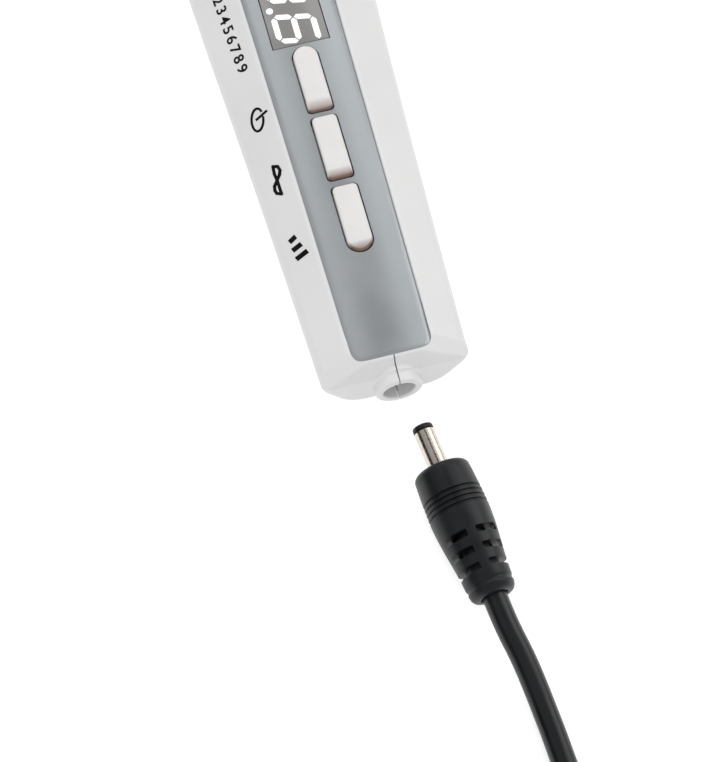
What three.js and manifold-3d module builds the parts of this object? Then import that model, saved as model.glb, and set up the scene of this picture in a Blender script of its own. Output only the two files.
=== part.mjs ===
// A cordless plasma pen lying on its back, with its charging lead unplugged beside its tail.
// Millimetres, +Z up. Along the pen, places count from the tail face towards the tip, which is +Y.
import * as THREE from 'three';
import { mergeVertices } from 'three/addons/utils/BufferGeometryUtils.js';
import Module from 'manifold-3d';

const wasm = await Module();
wasm.setup();

// Body: a faceted clamshell that is widest past the display and ends in a round neck
const bodyLength = 134;
const bodyHeight = 14;
const widestHalfWidth = 16.5;
const wall = 1.6;
const seamGap = 0.2;
const seatGap = 0.15;
const overrun = 1;

// The body's half width, along its length, as shares of bodyLength and widestHalfWidth
const halfWidthShares = [
  [0, 0.762], [0.149, 0.811], [0.299, 0.867], [0.448, 0.929], [0.537, 0.969],
  [0.642, 1], [0.746, 0.965], [0.851, 0.79], [0.94, 0.52], [1, 0.4],
];
// How far the upper facet drops, as shares of bodyLength and bodyHeight
const facetDropShares = [[0, 0.207], [0.448, 0.357], [0.642, 0.4], [1, 0.4]];
const sideHeight = 3.2;
const sideLean = 0.3;
const backShare = 0.62;
const lipWidth = 0.55;
const lipRound = 0.5;
const facetRound = 1.6;
const sideRound = 2;
const backRound = 3;
const stationStep = 8;
const innerStationStep = 14;
const cornerSteps = 3;

// Tail: a slanted end face, bevelled corners and a rounded lower edge
const tailSlant = 1.7;
const tailSlantDrop = 3.75;
const tailBevelHalf = 7.5;
const tailBevelStart = 4.2;
const tailBevelTurn = THREE.MathUtils.degToRad(38);
const tailBevelTilt = THREE.MathUtils.degToRad(31.9);
const tailSideRound = 1.2;
const tailBackRound = 4;
const tailWall = 2.2;
const tailRoundSteps = 6;

// Front panel, inlaid on a ledge between the two shells
const panelStart = 2.1;
const panelSetBack = 26;
const panelSink = 0.25;
const panelThickness = 1.35;
const panelGap = 0.15;
const panelCornerWidth = 2.7;
const panelCornerLength = 2.2;
const panelEdgeRound = 0.2;
const ledgeWidth = 1.6;
const deckThickness = 1.5;
// The panel's half width, as shares of bodyLength and of panelHalfWidth
const panelHalfWidth = 8.1;
const panelHalfShares = [
  [0, 0.818], [0.448, 0.947], [0.627, 0.996], [0.7, 0.98], [0.81, 0.7],
];
const panelSideSteps = 10;

// Buttons: they fill the row from its start to the display, with a web of the panel between them
const buttonHalf = 2.15;
const buttonProud = 1;
const buttonGap = 0.28;
const buttonEdgeRound = 0.45;
const buttonCorner = 0.8;
const flangeWidth = 0.8;
const flangeThickness = 0.8;
const buttonTravel = 0.4;
// Each button's top falls away towards the tail: how long the fall is, and how far it drops
const powerFall = [2.6, 0.75];
const lightFall = [2.1, 0.7];
const levelFall = [1.9, 0.55];
const buttonRowStart = 21.4;
const levelWeb = 1.6;
const powerWeb = 1.3;
const windowWeb = 0.9;
// The level and the light button's lengths, as shares of all three buttons' lengths
const levelShare = 0.3316;
const lightShare = 0.3235;
const roundEndSteps = 8;

// Display
const windowHalf = 5;
const windowLength = 15.4;
const windowSetBack = 30;
const windowSink = 0.1;
const windowThickness = 1.1;
const displayHalf = 4.7;
const displayHeight = 3;

// Main board and what stands on it
const boardHalf = 9;
const boardStart = 13;
const boardSetBack = 1;
const boardDrop = 6.2;
const boardThickness = 1;
const railReach = 0.9;
const railHeight = 1.2;
const switchSide = 5.2;
const switchHeight = 1.8;
const stemRadius = 1;
const stemHoleRadius = 1.25;
const stemDepth = 0.75;
const chipSide = 7;
const chipHeight = 1.1;
const chipSetBack = 19;
const coilRadius = 3;
const coilHeight = 1.7;
const coilSetBack = 8;

// Battery, its pad and its leads
const batteryHalf = 6.2;
const batteryStart = 18;
const batterySetBack = 11.4;
const batteryRoom = 0.6;
const batteryRound = 0.8;
const padThickness = 0.8;
const leadRadius = 0.5;
const leadHalfSpread = 2.5;
const leadRun = 5;

// Charging port and jack
const portReach = 2;
const portRadius = 2.7;
const portCollarRadius = 4;
const portCollarFlare = 1.4;
const portCollarRound = 0.5;
const jackHalfWidth = 3.2;
const jackHalfHeight = 2.8;
const jackLength = 9;
const jackBoreRadius = 1.95;
const jackBack = 0.9;
const jackPinRadius = 0.65;
const jackPinSetBack = 1.2;
const contactThickness = 0.3;
const contactHalfWidth = 0.7;
const contactLength = 4.6;
const contactBow = 0.25;
const jackRibThickness = 1.2;

// Screws that go in from the right-hand side, under the widest edge
const tailScrewPlace = 14.6;
const middleScrewSetBack = 5.6;
const neckScrewSetBack = 21.4;
const screwBossDrop = 0.7;
const screwRadius = 1;
const screwHeadRadius = 1.7;
const screwHeadThickness = 1.2;
const screwHeadDepth = 0.7;
const screwHoleGap = 0.2;
const screwBossRadius = 2.6;
const screwEndGap = 1;

// High-voltage block and its lead to the needle
const blockHalf = 6.4;
const blockLength = 22;
const blockSetBack = 9.6;
const blockRoom = 0.45;
const blockRound = 0.6;
const hvLeadRadius = 0.8;

// Neck, nose and needle, on one axis
const neckInset = 0.8;
const neckLength = 24;
const neckWall = 3;
const spigotStep = 1.8;
const spigotWall = 1.4;
const spigotLength = 5;
const ringProud = 0.2;
const ringWidth = 2.6;
const ringEdge = 0.4;
const coneStep = 0.1;
const coneTipRadius = 2.6;
const coneLength = 17;
// Where the cone's bend lies, as shares of its foot's radius and of its length
const coneBendShares = [0.8, 0.3];
const coneSeat = 2.4;
const socketRadius = 1.5;
const socketCollarRadius = 2.3;
const socketCollarLength = 2;
const socketProud = 1.6;
const shankRadius = 0.6;
const shankLength = 5.4;
const hubRadius = 1.5;
const hubLength = 3.6;
const hubGrip = 1.8;
const needleRadius = 0.22;
const needleReach = 4;
const needlePoint = 1.6;
const noseFit = 0.2;

// Clear cap over the nose
const capOverlap = 3.4;
const capLength = 31.5;
const capWall = 0.9;
const capInnerRadius = 3.4;
const capEndWall = 1.4;
const capRound = 1.2;
const capRimGap = 0.25;
const capShoulderGap = 1;

// Spotlight above the nose
const lensSetBack = 11;
const lensLean = THREE.MathUtils.degToRad(28);
const lensRadius = 2.1;
const lensLength = 2.2;
const lensProud = 0.5;
const lensGap = 0.3;
const ledRadius = 1.5;
const ledLength = 1.4;
const ledBaseRadius = 1.8;
const ledBase = 0.5;

// Charging plug, lying on the surface; its places count from the barrel's tip
const plugX = 2.16;
const plugTipPlace = -7.98;
const plugTurn = THREE.MathUtils.degToRad(6.3);
const barrelRadius = 1.75;
const barrelBore = 0.9;
const barrelShown = 8;
const barrelHeld = 2.4;
const tipRingLength = 0.8;
const gripRadius = 4.72;
const gripBelly = 0.35;
const gripBellyAt = 8.8;
const gripLength = 23.1;
const gripFrontRound = 1.1;
const grooveWidth = 0.45;
const grooveDepth = 0.3;
const grooveCount = 4;
const groovePitch = 0.9;
const grooveStart = 5.1;
const reliefStart = 12.3;
const reliefEnd = 20.7;
const reliefRows = 3;
const reliefBridge = 1.5;
const reliefSlotWidth = 1.2;
const reliefCoreRadius = 2.9;
const reliefTaper = 0.75;
const collarRadius = 3.9;
const collarNeck = 3.6;
const collarNeckLength = 0.4;
const collarRound = 0.6;

// Charging cord and its hank
const cordRadius = 2.05;
const cordSides = 8;
const hankSides = 6;
const hankLoops = 3;
const hankPitch = 5.3;
const layerPitch = 4.7;
const foldRadius = 12.6;
const runLength = 62;
const hankTop = -75;
const hankRunX = 14;
const foldSteps = 6;
const runSteps = 6;
const tieWidth = 5;
const tieThickness = 0.8;
const tieGap = 0.35;
const waistPitchShare = 1.9;
const floorGap = 0.05;

// Far end of the lead
const usbHalfWidth = 6;
const usbHalfHeight = 2.25;
const usbReach = 12;
const usbSheet = 0.35;
const usbGripHalfWidth = 7.6;
const usbGripHalfHeight = 4;
const usbGripLength = 24;
const usbGripRound = 1.8;
const usbGripTail = 8;
const usbTailHalf = 3.4;
const usbTongueThickness = 1.8;
const usbTongueHalf = 5;
const usbTongueSetBack = 1;
const contactStripHalf = 0.5;
const contactStripLength = 7;
const contactStripHeight = 0.25;
const contactPitch = 2.2;
const usbContacts = 4;
const usbHeld = 3;
const usbAside = 8;
const usbRest = 0.35;
const usbTurn = THREE.MathUtils.degToRad(14);
const usbTilt = THREE.MathUtils.degToRad(4);
const usbStraight = 6;

// How finely curves are cut
const roundSides = 24;
const fineSides = 16;
const needleSides = 10;
const edgeSegments = 2;
const batteryLeadSteps = 8;
const hvLeadSteps = 18;
const runCordSteps = 9;
const tailCordSteps = 18;
// The most of an edge that a rounded corner takes
const cornerShare = 0.45;

const finishes = {
  housing: { color: 0xdcdcdb, roughness: 0.45 },
  lacquer: { color: 0x8f979b, roughness: 0.42, metalness: 0.3 },
  keyWhite: { color: 0xe8e6e4, roughness: 0.4 },
  smokedWindow: { color: 0x9a9998, roughness: 0.25 },
  darkNylon: { color: 0x3a3b3d, roughness: 0.5 },
  chipResin: { color: 0x1b1b1d, roughness: 0.5 },
  ferrite: { color: 0x4a4a4d, roughness: 0.6 },
  solderMask: { color: 0x2c6b45, roughness: 0.45 },
  foam: { color: 0x3c3c3f, roughness: 0.95 },
  pouchFoil: { color: 0xb7bcc2, roughness: 0.35, metalness: 0.7 },
  redSleeve: { color: 0xb3261e, roughness: 0.5 },
  blackSleeve: { color: 0x1b1b1d, roughness: 0.5 },
  sheetSteel: { color: 0xb9bcc0, roughness: 0.35, metalness: 1 },
  screwSteel: { color: 0x8d9094, roughness: 0.35, metalness: 1 },
  needleSteel: { color: 0xc6c9cd, roughness: 0.2, metalness: 1 },
  brass: { color: 0xc8a45a, roughness: 0.3, metalness: 1 },
  chrome: { color: 0xd5d8dc, roughness: 0.12, metalness: 1 },
  nickel: { color: 0xc9c3b8, roughness: 0.22, metalness: 1 },
  clearCap: { color: 0xe9eef2, roughness: 0.08, transparent: true, opacity: 0.4 },
  clearLens: { color: 0xf2f5f7, roughness: 0.05 },
  phosphor: { color: 0xf6f3d8, roughness: 0.2 },
  blackPvc: { color: 0x202224, roughness: 0.5 },
  cordJacket: { color: 0x1d1f21, roughness: 0.45 },
  tieRubber: { color: 0x232527, roughness: 0.6 },
  whiteNylon: { color: 0xe8e8e6, roughness: 0.5 },
};

// Levels that follow from the sizes above
const panelTop = bodyHeight - panelSink;
const panelBottom = panelTop - panelThickness;
const deckTop = panelBottom - seatGap;
const deckBottom = deckTop - deckThickness;
const boardBottom = bodyHeight - boardDrop;
const boardTop = boardBottom + boardThickness;
const flangeTop = panelBottom - seatGap;
const flangeBottom = flangeTop - flangeThickness;
const switchBottom = boardTop + seatGap;
const batteryPadBottom = wall + seatGap;
const batteryBottom = batteryPadBottom + padThickness + seatGap;
const batteryTop = boardBottom - batteryRoom;
const blockBottom = wall + seatGap;
const blockTop = boardBottom - blockRoom;
const screwHeight = boardBottom - screwBossDrop - screwBossRadius;
const portHeight = deckBottom - seatGap - jackHalfHeight;
const noseHeight = bodyHeight / 2;

// Places along the pen that follow from the sizes above
const neckEnd = bodyLength;
const neckStart = neckEnd - neckLength;
const lensPlace = neckEnd - lensSetBack;
const panelEnd = neckEnd - panelSetBack;
const windowEnd = panelEnd - windowSetBack;
const windowStart = windowEnd - windowLength;
const boardEnd = panelEnd - boardSetBack;
const coilPlace = boardEnd - coilSetBack;
const chipPlace = boardEnd - chipSetBack;
const neckScrewPlace = neckEnd - neckScrewSetBack;
const blockEnd = neckScrewPlace - blockSetBack;
const blockStart = blockEnd - blockLength;
const middleScrewPlace = blockStart - middleScrewSetBack;
const screwPlaces = [tailScrewPlace, middleScrewPlace, neckScrewPlace];
const batteryEnd = middleScrewPlace - batterySetBack;
const buttonRowEnd = windowStart - windowWeb;
const buttonLengths = buttonRowEnd - buttonRowStart - levelWeb - powerWeb;
const levelEnd = buttonRowStart + buttonLengths * levelShare;
const lightStart = levelEnd + levelWeb;
const lightEnd = lightStart + buttonLengths * lightShare;
const powerStart = lightEnd + powerWeb;

// The neck and the nose, from the neck's radius outwards and inwards
const neckRadius = noseHeight - neckInset;
const spigotRadius = neckRadius - spigotStep;
const neckBore = spigotRadius - spigotWall;
const ringRadius = neckRadius + ringProud;
const coneRadius = neckRadius - coneStep;
const ringStart = neckEnd + noseFit;
const coneStart = ringStart + ringWidth + noseFit;
const coneEnd = coneStart + coneLength;
const socketEnd = coneEnd + socketProud;
const hubStart = socketEnd + noseFit;
const hubEnd = hubStart + hubLength;
const capStart = coneStart + capOverlap;
const capEnd = capStart + capLength;

// A smooth curve through knots of [place, value], flat past both ends
function smoothThrough(knots, place) {
  const last = knots.length - 1;
  if (place <= knots[0][0]) return knots[0][1];
  if (place >= knots[last][0]) return knots[last][1];
  const slope = (i) => (knots[i + 1][1] - knots[i][1]) / (knots[i + 1][0] - knots[i][0]);
  const tangent = (i) => {
    if (i === 0) return slope(0);
    if (i === last) return slope(last - 1);
    const turns = slope(i - 1) * slope(i) <= 0;
    return turns ? 0 : (2 * slope(i - 1) * slope(i)) / (slope(i - 1) + slope(i));
  };
  const i = knots.findIndex(([start]) => start > place) - 1;
  const span = knots[i + 1][0] - knots[i][0];
  const t = (place - knots[i][0]) / span;
  const rise = knots[i + 1][1] - knots[i][1];
  const ease = t * t * (3 - 2 * t);
  const lead = t * (1 - t) * (1 - t) * span * tangent(i);
  const trail = t * t * (t - 1) * span * tangent(i + 1);
  return knots[i][1] + rise * ease + lead + trail;
}

function scaled(shares, length, size) {
  return shares.map(([place, share]) => [place * length, share * size]);
}

const halfWidthKnots = scaled(halfWidthShares, bodyLength, widestHalfWidth);
const facetDropKnots = scaled(facetDropShares, bodyLength, bodyHeight);
const panelHalfKnots = scaled(panelHalfShares, bodyLength, panelHalfWidth);

const halfWidthAt = (place) => smoothThrough(halfWidthKnots, place);
const facetDropAt = (place) => smoothThrough(facetDropKnots, place);
const panelHalfAt = (place) => smoothThrough(panelHalfKnots, place);

// Turns a closed geometry into a solid for joining and cutting
function solidOf(geometry) {
  const plain = geometry.clone();
  plain.deleteAttribute('normal');
  plain.deleteAttribute('uv');
  const merged = mergeVertices(plain);
  const vertProperties = new Float32Array(merged.attributes.position.array);
  const triVerts = new Uint32Array(merged.index.array);
  return new wasm.Manifold(new wasm.Mesh({ numProp: 3, vertProperties, triVerts }));
}

function geometryOf(solid) {
  const mesh = solid.getMesh();
  const geometry = new THREE.BufferGeometry();
  geometry.setAttribute('position', new THREE.BufferAttribute(mesh.vertProperties, 3));
  geometry.setIndex(new THREE.BufferAttribute(mesh.triVerts, 1));
  geometry.computeVertexNormals();
  return geometry;
}

// Turns every face round where a closed body came out inside out
function facingOut(geometry) {
  const point = geometry.attributes.position;
  const index = geometry.index ?? { count: point.count, getX: (i) => i };
  const [a, b, c] = [new THREE.Vector3(), new THREE.Vector3(), new THREE.Vector3()];
  let volume = 0;
  for (let i = 0; i < index.count; i += 3) {
    a.fromBufferAttribute(point, index.getX(i));
    b.fromBufferAttribute(point, index.getX(i + 1));
    c.fromBufferAttribute(point, index.getX(i + 2));
    volume += a.dot(b.cross(c));
  }
  if (volume > 0) return geometry;
  const order = Array.from({ length: index.count }, (_, i) => index.getX(i));
  for (let i = 0; i < order.length; i += 3) [order[i], order[i + 1]] = [order[i + 1], order[i]];
  geometry.setIndex(order);
  return geometry;
}

// Joins rings of as many points each into one closed body
function loft(rings) {
  const count = rings[0].length;
  const points = rings.flat();
  const faces = [];
  for (let ring = 0; ring < rings.length - 1; ring += 1) {
    for (let i = 0; i < count; i += 1) {
      const a = ring * count + i;
      const b = ring * count + ((i + 1) % count);
      faces.push(a, b, a + count, b, b + count, a + count);
    }
  }
  [0, rings.length - 1].forEach((ring) => {
    const middle = rings[ring].reduce((sum, p) => sum.add(p), new THREE.Vector3());
    points.push(middle.divideScalar(count));
    for (let i = 0; i < count; i += 1) {
      const a = ring * count + i;
      const b = ring * count + ((i + 1) % count);
      faces.push(points.length - 1, ...(ring === 0 ? [b, a] : [a, b]));
    }
  });
  const geometry = new THREE.BufferGeometry();
  const numbers = points.flatMap((p) => p.toArray());
  geometry.setAttribute('position', new THREE.Float32BufferAttribute(numbers, 3));
  geometry.setIndex(faces);
  return facingOut(geometry);
}

function block(x0, x1, y0, y1, z0, z1) {
  const box = new THREE.BoxGeometry(x1 - x0, y1 - y0, z1 - z0);
  return box.translate((x0 + x1) / 2, (y0 + y1) / 2, (z0 + z1) / 2);
}

// A turned piece about the Y axis; its profile is [radius, place] from the axis and back to it
function turned(profile, sides = roundSides) {
  const points = profile.map(([radius, place]) => new THREE.Vector2(radius, place));
  return facingOut(new THREE.LatheGeometry(points, sides));
}

function rod(radius, start, end, sides = roundSides) {
  return turned([[0, start], [radius, start], [radius, end], [0, end]], sides);
}

function raised(shape, bottom, top, round = 0, curveSegments = roundEndSteps) {
  const bevel = {
    bevelThickness: round, bevelSize: round, bevelOffset: -round, bevelSegments: edgeSegments,
  };
  const options = { depth: top - bottom - 2 * round, bevelEnabled: round > 0, curveSegments, ...bevel };
  return new THREE.ExtrudeGeometry(shape, options).translate(0, 0, bottom + round);
}

function wire(points, radius, steps, sides = cordSides) {
  const turn = (2 * Math.PI) / sides;
  const corner = (_, i) => new THREE.Vector2(Math.cos(i * turn), Math.sin(i * turn)).multiplyScalar(radius);
  const section = new THREE.Shape(Array.from({ length: sides }, corner));
  const extrudePath = new THREE.CatmullRomCurve3(points.map((p) => new THREE.Vector3(...p)));
  return facingOut(new THREE.ExtrudeGeometry(section, { steps, extrudePath }));
}

const pen = new THREE.Group();

function add(name, geometry, finish, group = pen) {
  const mesh = new THREE.Mesh(geometry, new THREE.MeshStandardMaterial(finishes[finish]));
  mesh.name = name;
  group.add(mesh);
}

// Moves every edge of a clockwise outline inwards by its own distance
function inset(corners, distances) {
  const count = corners.length;
  const edges = corners.map((from, i) => {
    const along = corners[(i + 1) % count].clone().sub(from).normalize();
    const inwards = new THREE.Vector2(along.y, -along.x);
    return { along, from: from.clone().addScaledVector(inwards, distances[i]) };
  });
  return edges.map((edge, i) => {
    const before = edges[(i + count - 1) % count];
    const away = edge.from.clone().sub(before.from);
    const reach = away.cross(edge.along) / before.along.cross(edge.along);
    return before.from.clone().addScaledVector(before.along, reach);
  });
}

function roundCorner(corners, i, round) {
  const count = corners.length;
  const corner = corners[i];
  const towards = (other) => {
    const way = corners[(i + other + count) % count].clone().sub(corner);
    return corner.clone().addScaledVector(way, Math.min(round / way.length(), cornerShare));
  };
  return new THREE.QuadraticBezierCurve(towards(-1), corner, towards(1)).getPoints(cornerSteps);
}

const mirroredRing = (half) => [...half, ...[...half].reverse()];

// One ring round the body, moved inwards by its sides' and its top's distances
function bodyRing(place, side = 0, top = 0, back = side) {
  const [half, drop] = [halfWidthAt(place), facetDropAt(place)];
  const right = [
    [panelHalfAt(place) + lipWidth, bodyHeight],
    [half, bodyHeight - drop],
    [half - sideLean, bodyHeight - drop - sideHeight],
    [half * backShare, 0],
  ];
  const left = right.map(([x, z]) => [-x, z]).reverse();
  const corners = [...right, ...left].map(([x, z]) => new THREE.Vector2(x, z));
  const distances = [...mirroredRing([side, side, side]), top];
  distances.splice(3, 0, back);
  const outline = inset(corners, distances);
  const rounds = mirroredRing([lipRound, facetRound, sideRound, backRound])
    .map((round) => Math.max(round - side, lipRound));
  const points = outline.flatMap((_, i) => roundCorner(outline, i, rounds[i]));
  const share = THREE.MathUtils.smoothstep(place, neckStart, neckEnd);
  const axis = new THREE.Vector2(0, noseHeight);
  return points.map((p) => {
    const onNeck = p.clone().sub(axis).setLength(neckRadius - side).add(axis);
    const at = p.clone().lerp(onNeck, share);
    return new THREE.Vector3(at.x, place, at.y);
  });
}

const arcInset = (radius, place) => {
  const left = Math.max(radius - place, 0);
  return radius - Math.sqrt(radius * radius - left * left);
};

function bodyStations(start, end, step) {
  const count = Math.round((end - start) / step);
  return Array.from({ length: count + 1 }, (_, i) => start + ((end - start) * i) / count);
}

// A tool that removes all that lies beyond a slanted plane
function planeCut(point, turn, tilt) {
  const reach = bodyLength / 2;
  const box = block(-reach, reach, -reach, reach, 0, reach);
  box.rotateX(tilt).rotateZ(turn);
  return solidOf(box.translate(...point));
}

function outerBody() {
  const rounding = Array.from({ length: tailRoundSteps }, (_, i) => {
    const angle = (i / tailRoundSteps) * (Math.PI / 2);
    return tailBackRound * (1 - Math.cos(angle));
  });
  const stations = [...rounding, ...bodyStations(tailBackRound, neckEnd, stationStep)];
  const rings = stations.map((place) => {
    const sideInset = arcInset(tailSideRound, place);
    return tailRing(place, sideInset, arcInset(tailBackRound, place));
  });
  const slant = Math.atan2(tailSlantDrop, tailSlant);
  let body = solidOf(loft(rings));
  body = body.subtract(planeCut([0, tailSlant, bodyHeight], 0, slant));
  [-1, 1].forEach((hand) => {
    const point = [hand * tailBevelHalf, tailBevelStart, bodyHeight];
    body = body.subtract(planeCut(point, hand * tailBevelTurn, tailBevelTilt));
  });
  return body;
}

// A ring near the tail, where the sides and the back turn in to the end face
function tailRing(place, sideInset, backInset) {
  return bodyRing(place, 0, 0, 0).map((p) => {
    const pull = 1 - sideInset / halfWidthAt(place);
    const lift = (backInset * (bodyHeight - p.z)) / bodyHeight;
    return new THREE.Vector3(p.x * pull, p.y, p.z + lift);
  });
}

// The hollow inside the shells, with a deck left under the panel
function cavity() {
  const top = bodyHeight - deckBottom;
  const stations = bodyStations(tailWall, neckEnd - neckWall, innerStationStep);
  const rings = stations.map((place) => bodyRing(place, wall, top));
  return solidOf(loft(rings));
}

// The panel's outline, grown on every side by the same amount
function panelShape(grow, start = panelStart, end = panelEnd) {
  const first = start - grow;
  const last = end + grow;
  const side = Array.from({ length: panelSideSteps + 1 }, (_, i) => {
    const place = start + panelCornerLength + ((end - start - 2 * panelCornerLength) * i) / panelSideSteps;
    return [panelHalfAt(place) + grow, place];
  });
  const [nearX] = side[0];
  const [farX] = side[panelSideSteps];
  const shape = new THREE.Shape();
  shape.moveTo(panelCornerWidth - nearX, first);
  shape.lineTo(nearX - panelCornerWidth, first);
  shape.quadraticCurveTo(nearX, first, ...side[0]);
  side.slice(1).forEach(([x, y]) => shape.lineTo(x, y));
  shape.quadraticCurveTo(farX, last, farX - panelCornerWidth, last);
  shape.lineTo(panelCornerWidth - farX, last);
  shape.quadraticCurveTo(-farX, last, -farX, side[panelSideSteps][1]);
  [...side].reverse().slice(1).forEach(([x, y]) => shape.lineTo(-x, y));
  shape.quadraticCurveTo(-nearX, first, panelCornerWidth - nearX, first);
  return shape;
}

// The port's collar, flared where it grows out of the end face
function portCollar() {
  const foot = tailWall - seatGap;
  const flareEnd = portCollarFlare - portReach;
  const flare = new THREE.QuadraticBezierCurve(
    new THREE.Vector2(portCollarRadius, flareEnd - portCollarFlare),
    new THREE.Vector2(portCollarRadius, 0),
    new THREE.Vector2(portCollarRadius + portCollarFlare, 0),
  ).getPoints(cornerSteps);
  const profile = [
    [0, -portReach],
    [portCollarRadius - portCollarRound, -portReach],
    [portCollarRadius, portCollarRound - portReach],
    ...flare.slice(1).map((p) => [p.x, p.y]),
    [portCollarRadius + portCollarFlare, foot],
    [0, foot],
  ];
  return solidOf(turned(profile).translate(0, 0, portHeight));
}

function portBore() {
  const bore = rod(portRadius, -portReach - overrun, tailWall + overrun);
  return solidOf(bore.translate(0, 0, portHeight));
}

// Posts that the screws go through, from the seam out to the side walls
function screwBosses() {
  return screwPlaces.map((place) => {
    const post = rod(screwBossRadius, -widestHalfWidth, widestHalfWidth, fineSides);
    return solidOf(post.rotateZ(Math.PI / 2).translate(0, place, screwHeight));
  });
}

// Where the lower facet stands at a height
function facetX(place, height) {
  const half = halfWidthAt(place);
  const top = bodyHeight - facetDropAt(place) - sideHeight;
  return THREE.MathUtils.lerp(half * backShare, half - sideLean, height / top);
}

const screwSeat = (place) => facetX(place, screwHeight) - screwHeadDepth - screwHeadThickness - seatGap;
const screwTip = (place) => screwEndGap + wall - facetX(place, screwHeight);

function screwHoles() {
  return screwPlaces.flatMap((place) => {
    const tip = screwTip(place) - seatGap;
    const shank = rod(screwRadius + screwHoleGap, tip, widestHalfWidth, fineSides);
    const head = rod(screwHeadRadius + screwHoleGap, screwSeat(place) - seatGap, widestHalfWidth + overrun);
    return [shank, head].map((g) => solidOf(g.rotateZ(-Math.PI / 2).translate(0, place, screwHeight)));
  });
}

// Rails that carry the board's edges, ribs beside the battery and the block, and ribs round the jack
function innerRibs() {
  const rails = block(boardHalf - railReach, widestHalfWidth, boardStart, boardEnd,
    boardBottom - seatGap - railHeight, boardBottom - seatGap);
  const beside = (half, start, end, top) => (
    block(half + seatGap, half + seatGap + wall / 2, start, end, 0, top));
  const cradle = beside(batteryHalf, batteryStart, batteryEnd, boardBottom / 2);
  const stall = beside(blockHalf, blockStart, blockEnd, boardBottom / 2);
  const ribPlaces = [tailWall + jackRibThickness, tailWall + jackLength - 2 * jackRibThickness];
  const jackRibs = ribPlaces.map((place) => (
    block(jackHalfWidth + seatGap, widestHalfWidth, place, place + jackRibThickness,
      0, deckBottom + seatGap)));
  const right = [rails, cradle, stall, ...jackRibs];
  const left = right.map((g) => facingOut(g.clone().scale(-1, 1, 1)));
  return [...right, ...left].map(solidOf);
}

// The lens's own axis, leaning forwards from the top of the neck
function alongLens(geometry) {
  const top = Math.max(...bodyRing(lensPlace).map((p) => p.z));
  return geometry.rotateX(Math.PI / 2 - lensLean).translate(0, lensPlace, top);
}

function shells() {
  const outer = outerBody();
  const inside = [...screwBosses(), ...innerRibs()].reduce((all, piece) => all.add(piece));
  let body = outer.subtract(cavity()).add(inside.intersect(outer)).add(portCollar());
  const spigot = rod(spigotRadius, neckEnd - wall, neckEnd + spigotLength);
  body = body.add(solidOf(spigot.translate(0, 0, noseHeight)));
  const bore = rod(neckBore, neckEnd - neckWall - overrun, neckEnd + spigotLength + overrun);
  const cuts = [
    portBore(),
    solidOf(raised(panelShape(panelGap), deckTop, bodyHeight + overrun)),
    solidOf(raised(panelShape(-ledgeWidth), deckBottom - overrun, bodyHeight)),
    solidOf(bore.translate(0, 0, noseHeight)),
    solidOf(alongLens(rod(lensRadius + lensGap, -lensLength - wall, lensLength))),
    ...screwHoles(),
  ];
  cuts.forEach((cut) => {
    body = body.subtract(cut);
  });
  const side = (x0, x1) => solidOf(block(x0, x1, -bodyLength, 2 * bodyLength, -bodyHeight, 2 * bodyHeight));
  const halves = [[-2 * widestHalfWidth, -seamGap / 2], [seamGap / 2, 2 * widestHalfWidth]];
  return halves.map(([x0, x1]) => geometryOf(body.intersect(side(x0, x1))));
}

// A button's outline, with a half-round end at its start or its end where it has one
function buttonShape(button, grow) {
  const half = buttonHalf + grow;
  const [first, last] = [button.start - grow, button.end + grow];
  const shape = new THREE.Shape();
  const corner = (x, y, alongX, alongY) => {
    shape.lineTo(x + alongX[0], y + alongX[1]);
    shape.quadraticCurveTo(x, y, x + alongY[0], y + alongY[1]);
  };
  if (button.roundStart) {
    shape.absarc(0, first + half, half, Math.PI, 2 * Math.PI);
  } else {
    shape.moveTo(-half, first + buttonCorner);
    shape.quadraticCurveTo(-half, first, buttonCorner - half, first);
    corner(half, first, [-buttonCorner, 0], [0, buttonCorner]);
  }
  if (button.roundEnd) {
    shape.absarc(0, last - half, half, 0, Math.PI);
  } else {
    corner(half, last, [0, -buttonCorner], [-buttonCorner, 0]);
    corner(-half, last, [buttonCorner, 0], [0, -buttonCorner]);
  }
  return shape;
}

const buttons = [
  { name: 'power', start: powerStart, end: buttonRowEnd, fall: powerFall, roundEnd: true },
  { name: 'light', start: lightStart, end: lightEnd, fall: lightFall },
  { name: 'level', start: buttonRowStart, end: levelEnd, fall: levelFall, roundStart: true },
];

// A flat shape drawn in [place, height], as thick as its two sides are apart
function acrossPen(shape, half, curveSegments) {
  const options = { depth: 2 * half, bevelEnabled: false, curveSegments };
  const slab = new THREE.ExtrudeGeometry(shape, options).translate(0, 0, -half);
  return slab.rotateX(Math.PI / 2).rotateZ(Math.PI / 2);
}

// A tool that takes off the fall at a button's tail end
function fallCut(button) {
  const top = panelTop + buttonProud;
  const [length, drop] = button.fall;
  const end = button.start + length;
  const shape = new THREE.Shape();
  shape.moveTo(end, top);
  shape.lineTo(end, top + overrun);
  shape.lineTo(button.start - overrun, top + overrun);
  shape.lineTo(button.start - overrun, top - drop);
  shape.lineTo(button.start, top - drop);
  shape.quadraticCurveTo((button.start + end) / 2, top, end, top);
  return solidOf(acrossPen(shape, buttonHalf + overrun, roundEndSteps));
}

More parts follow.
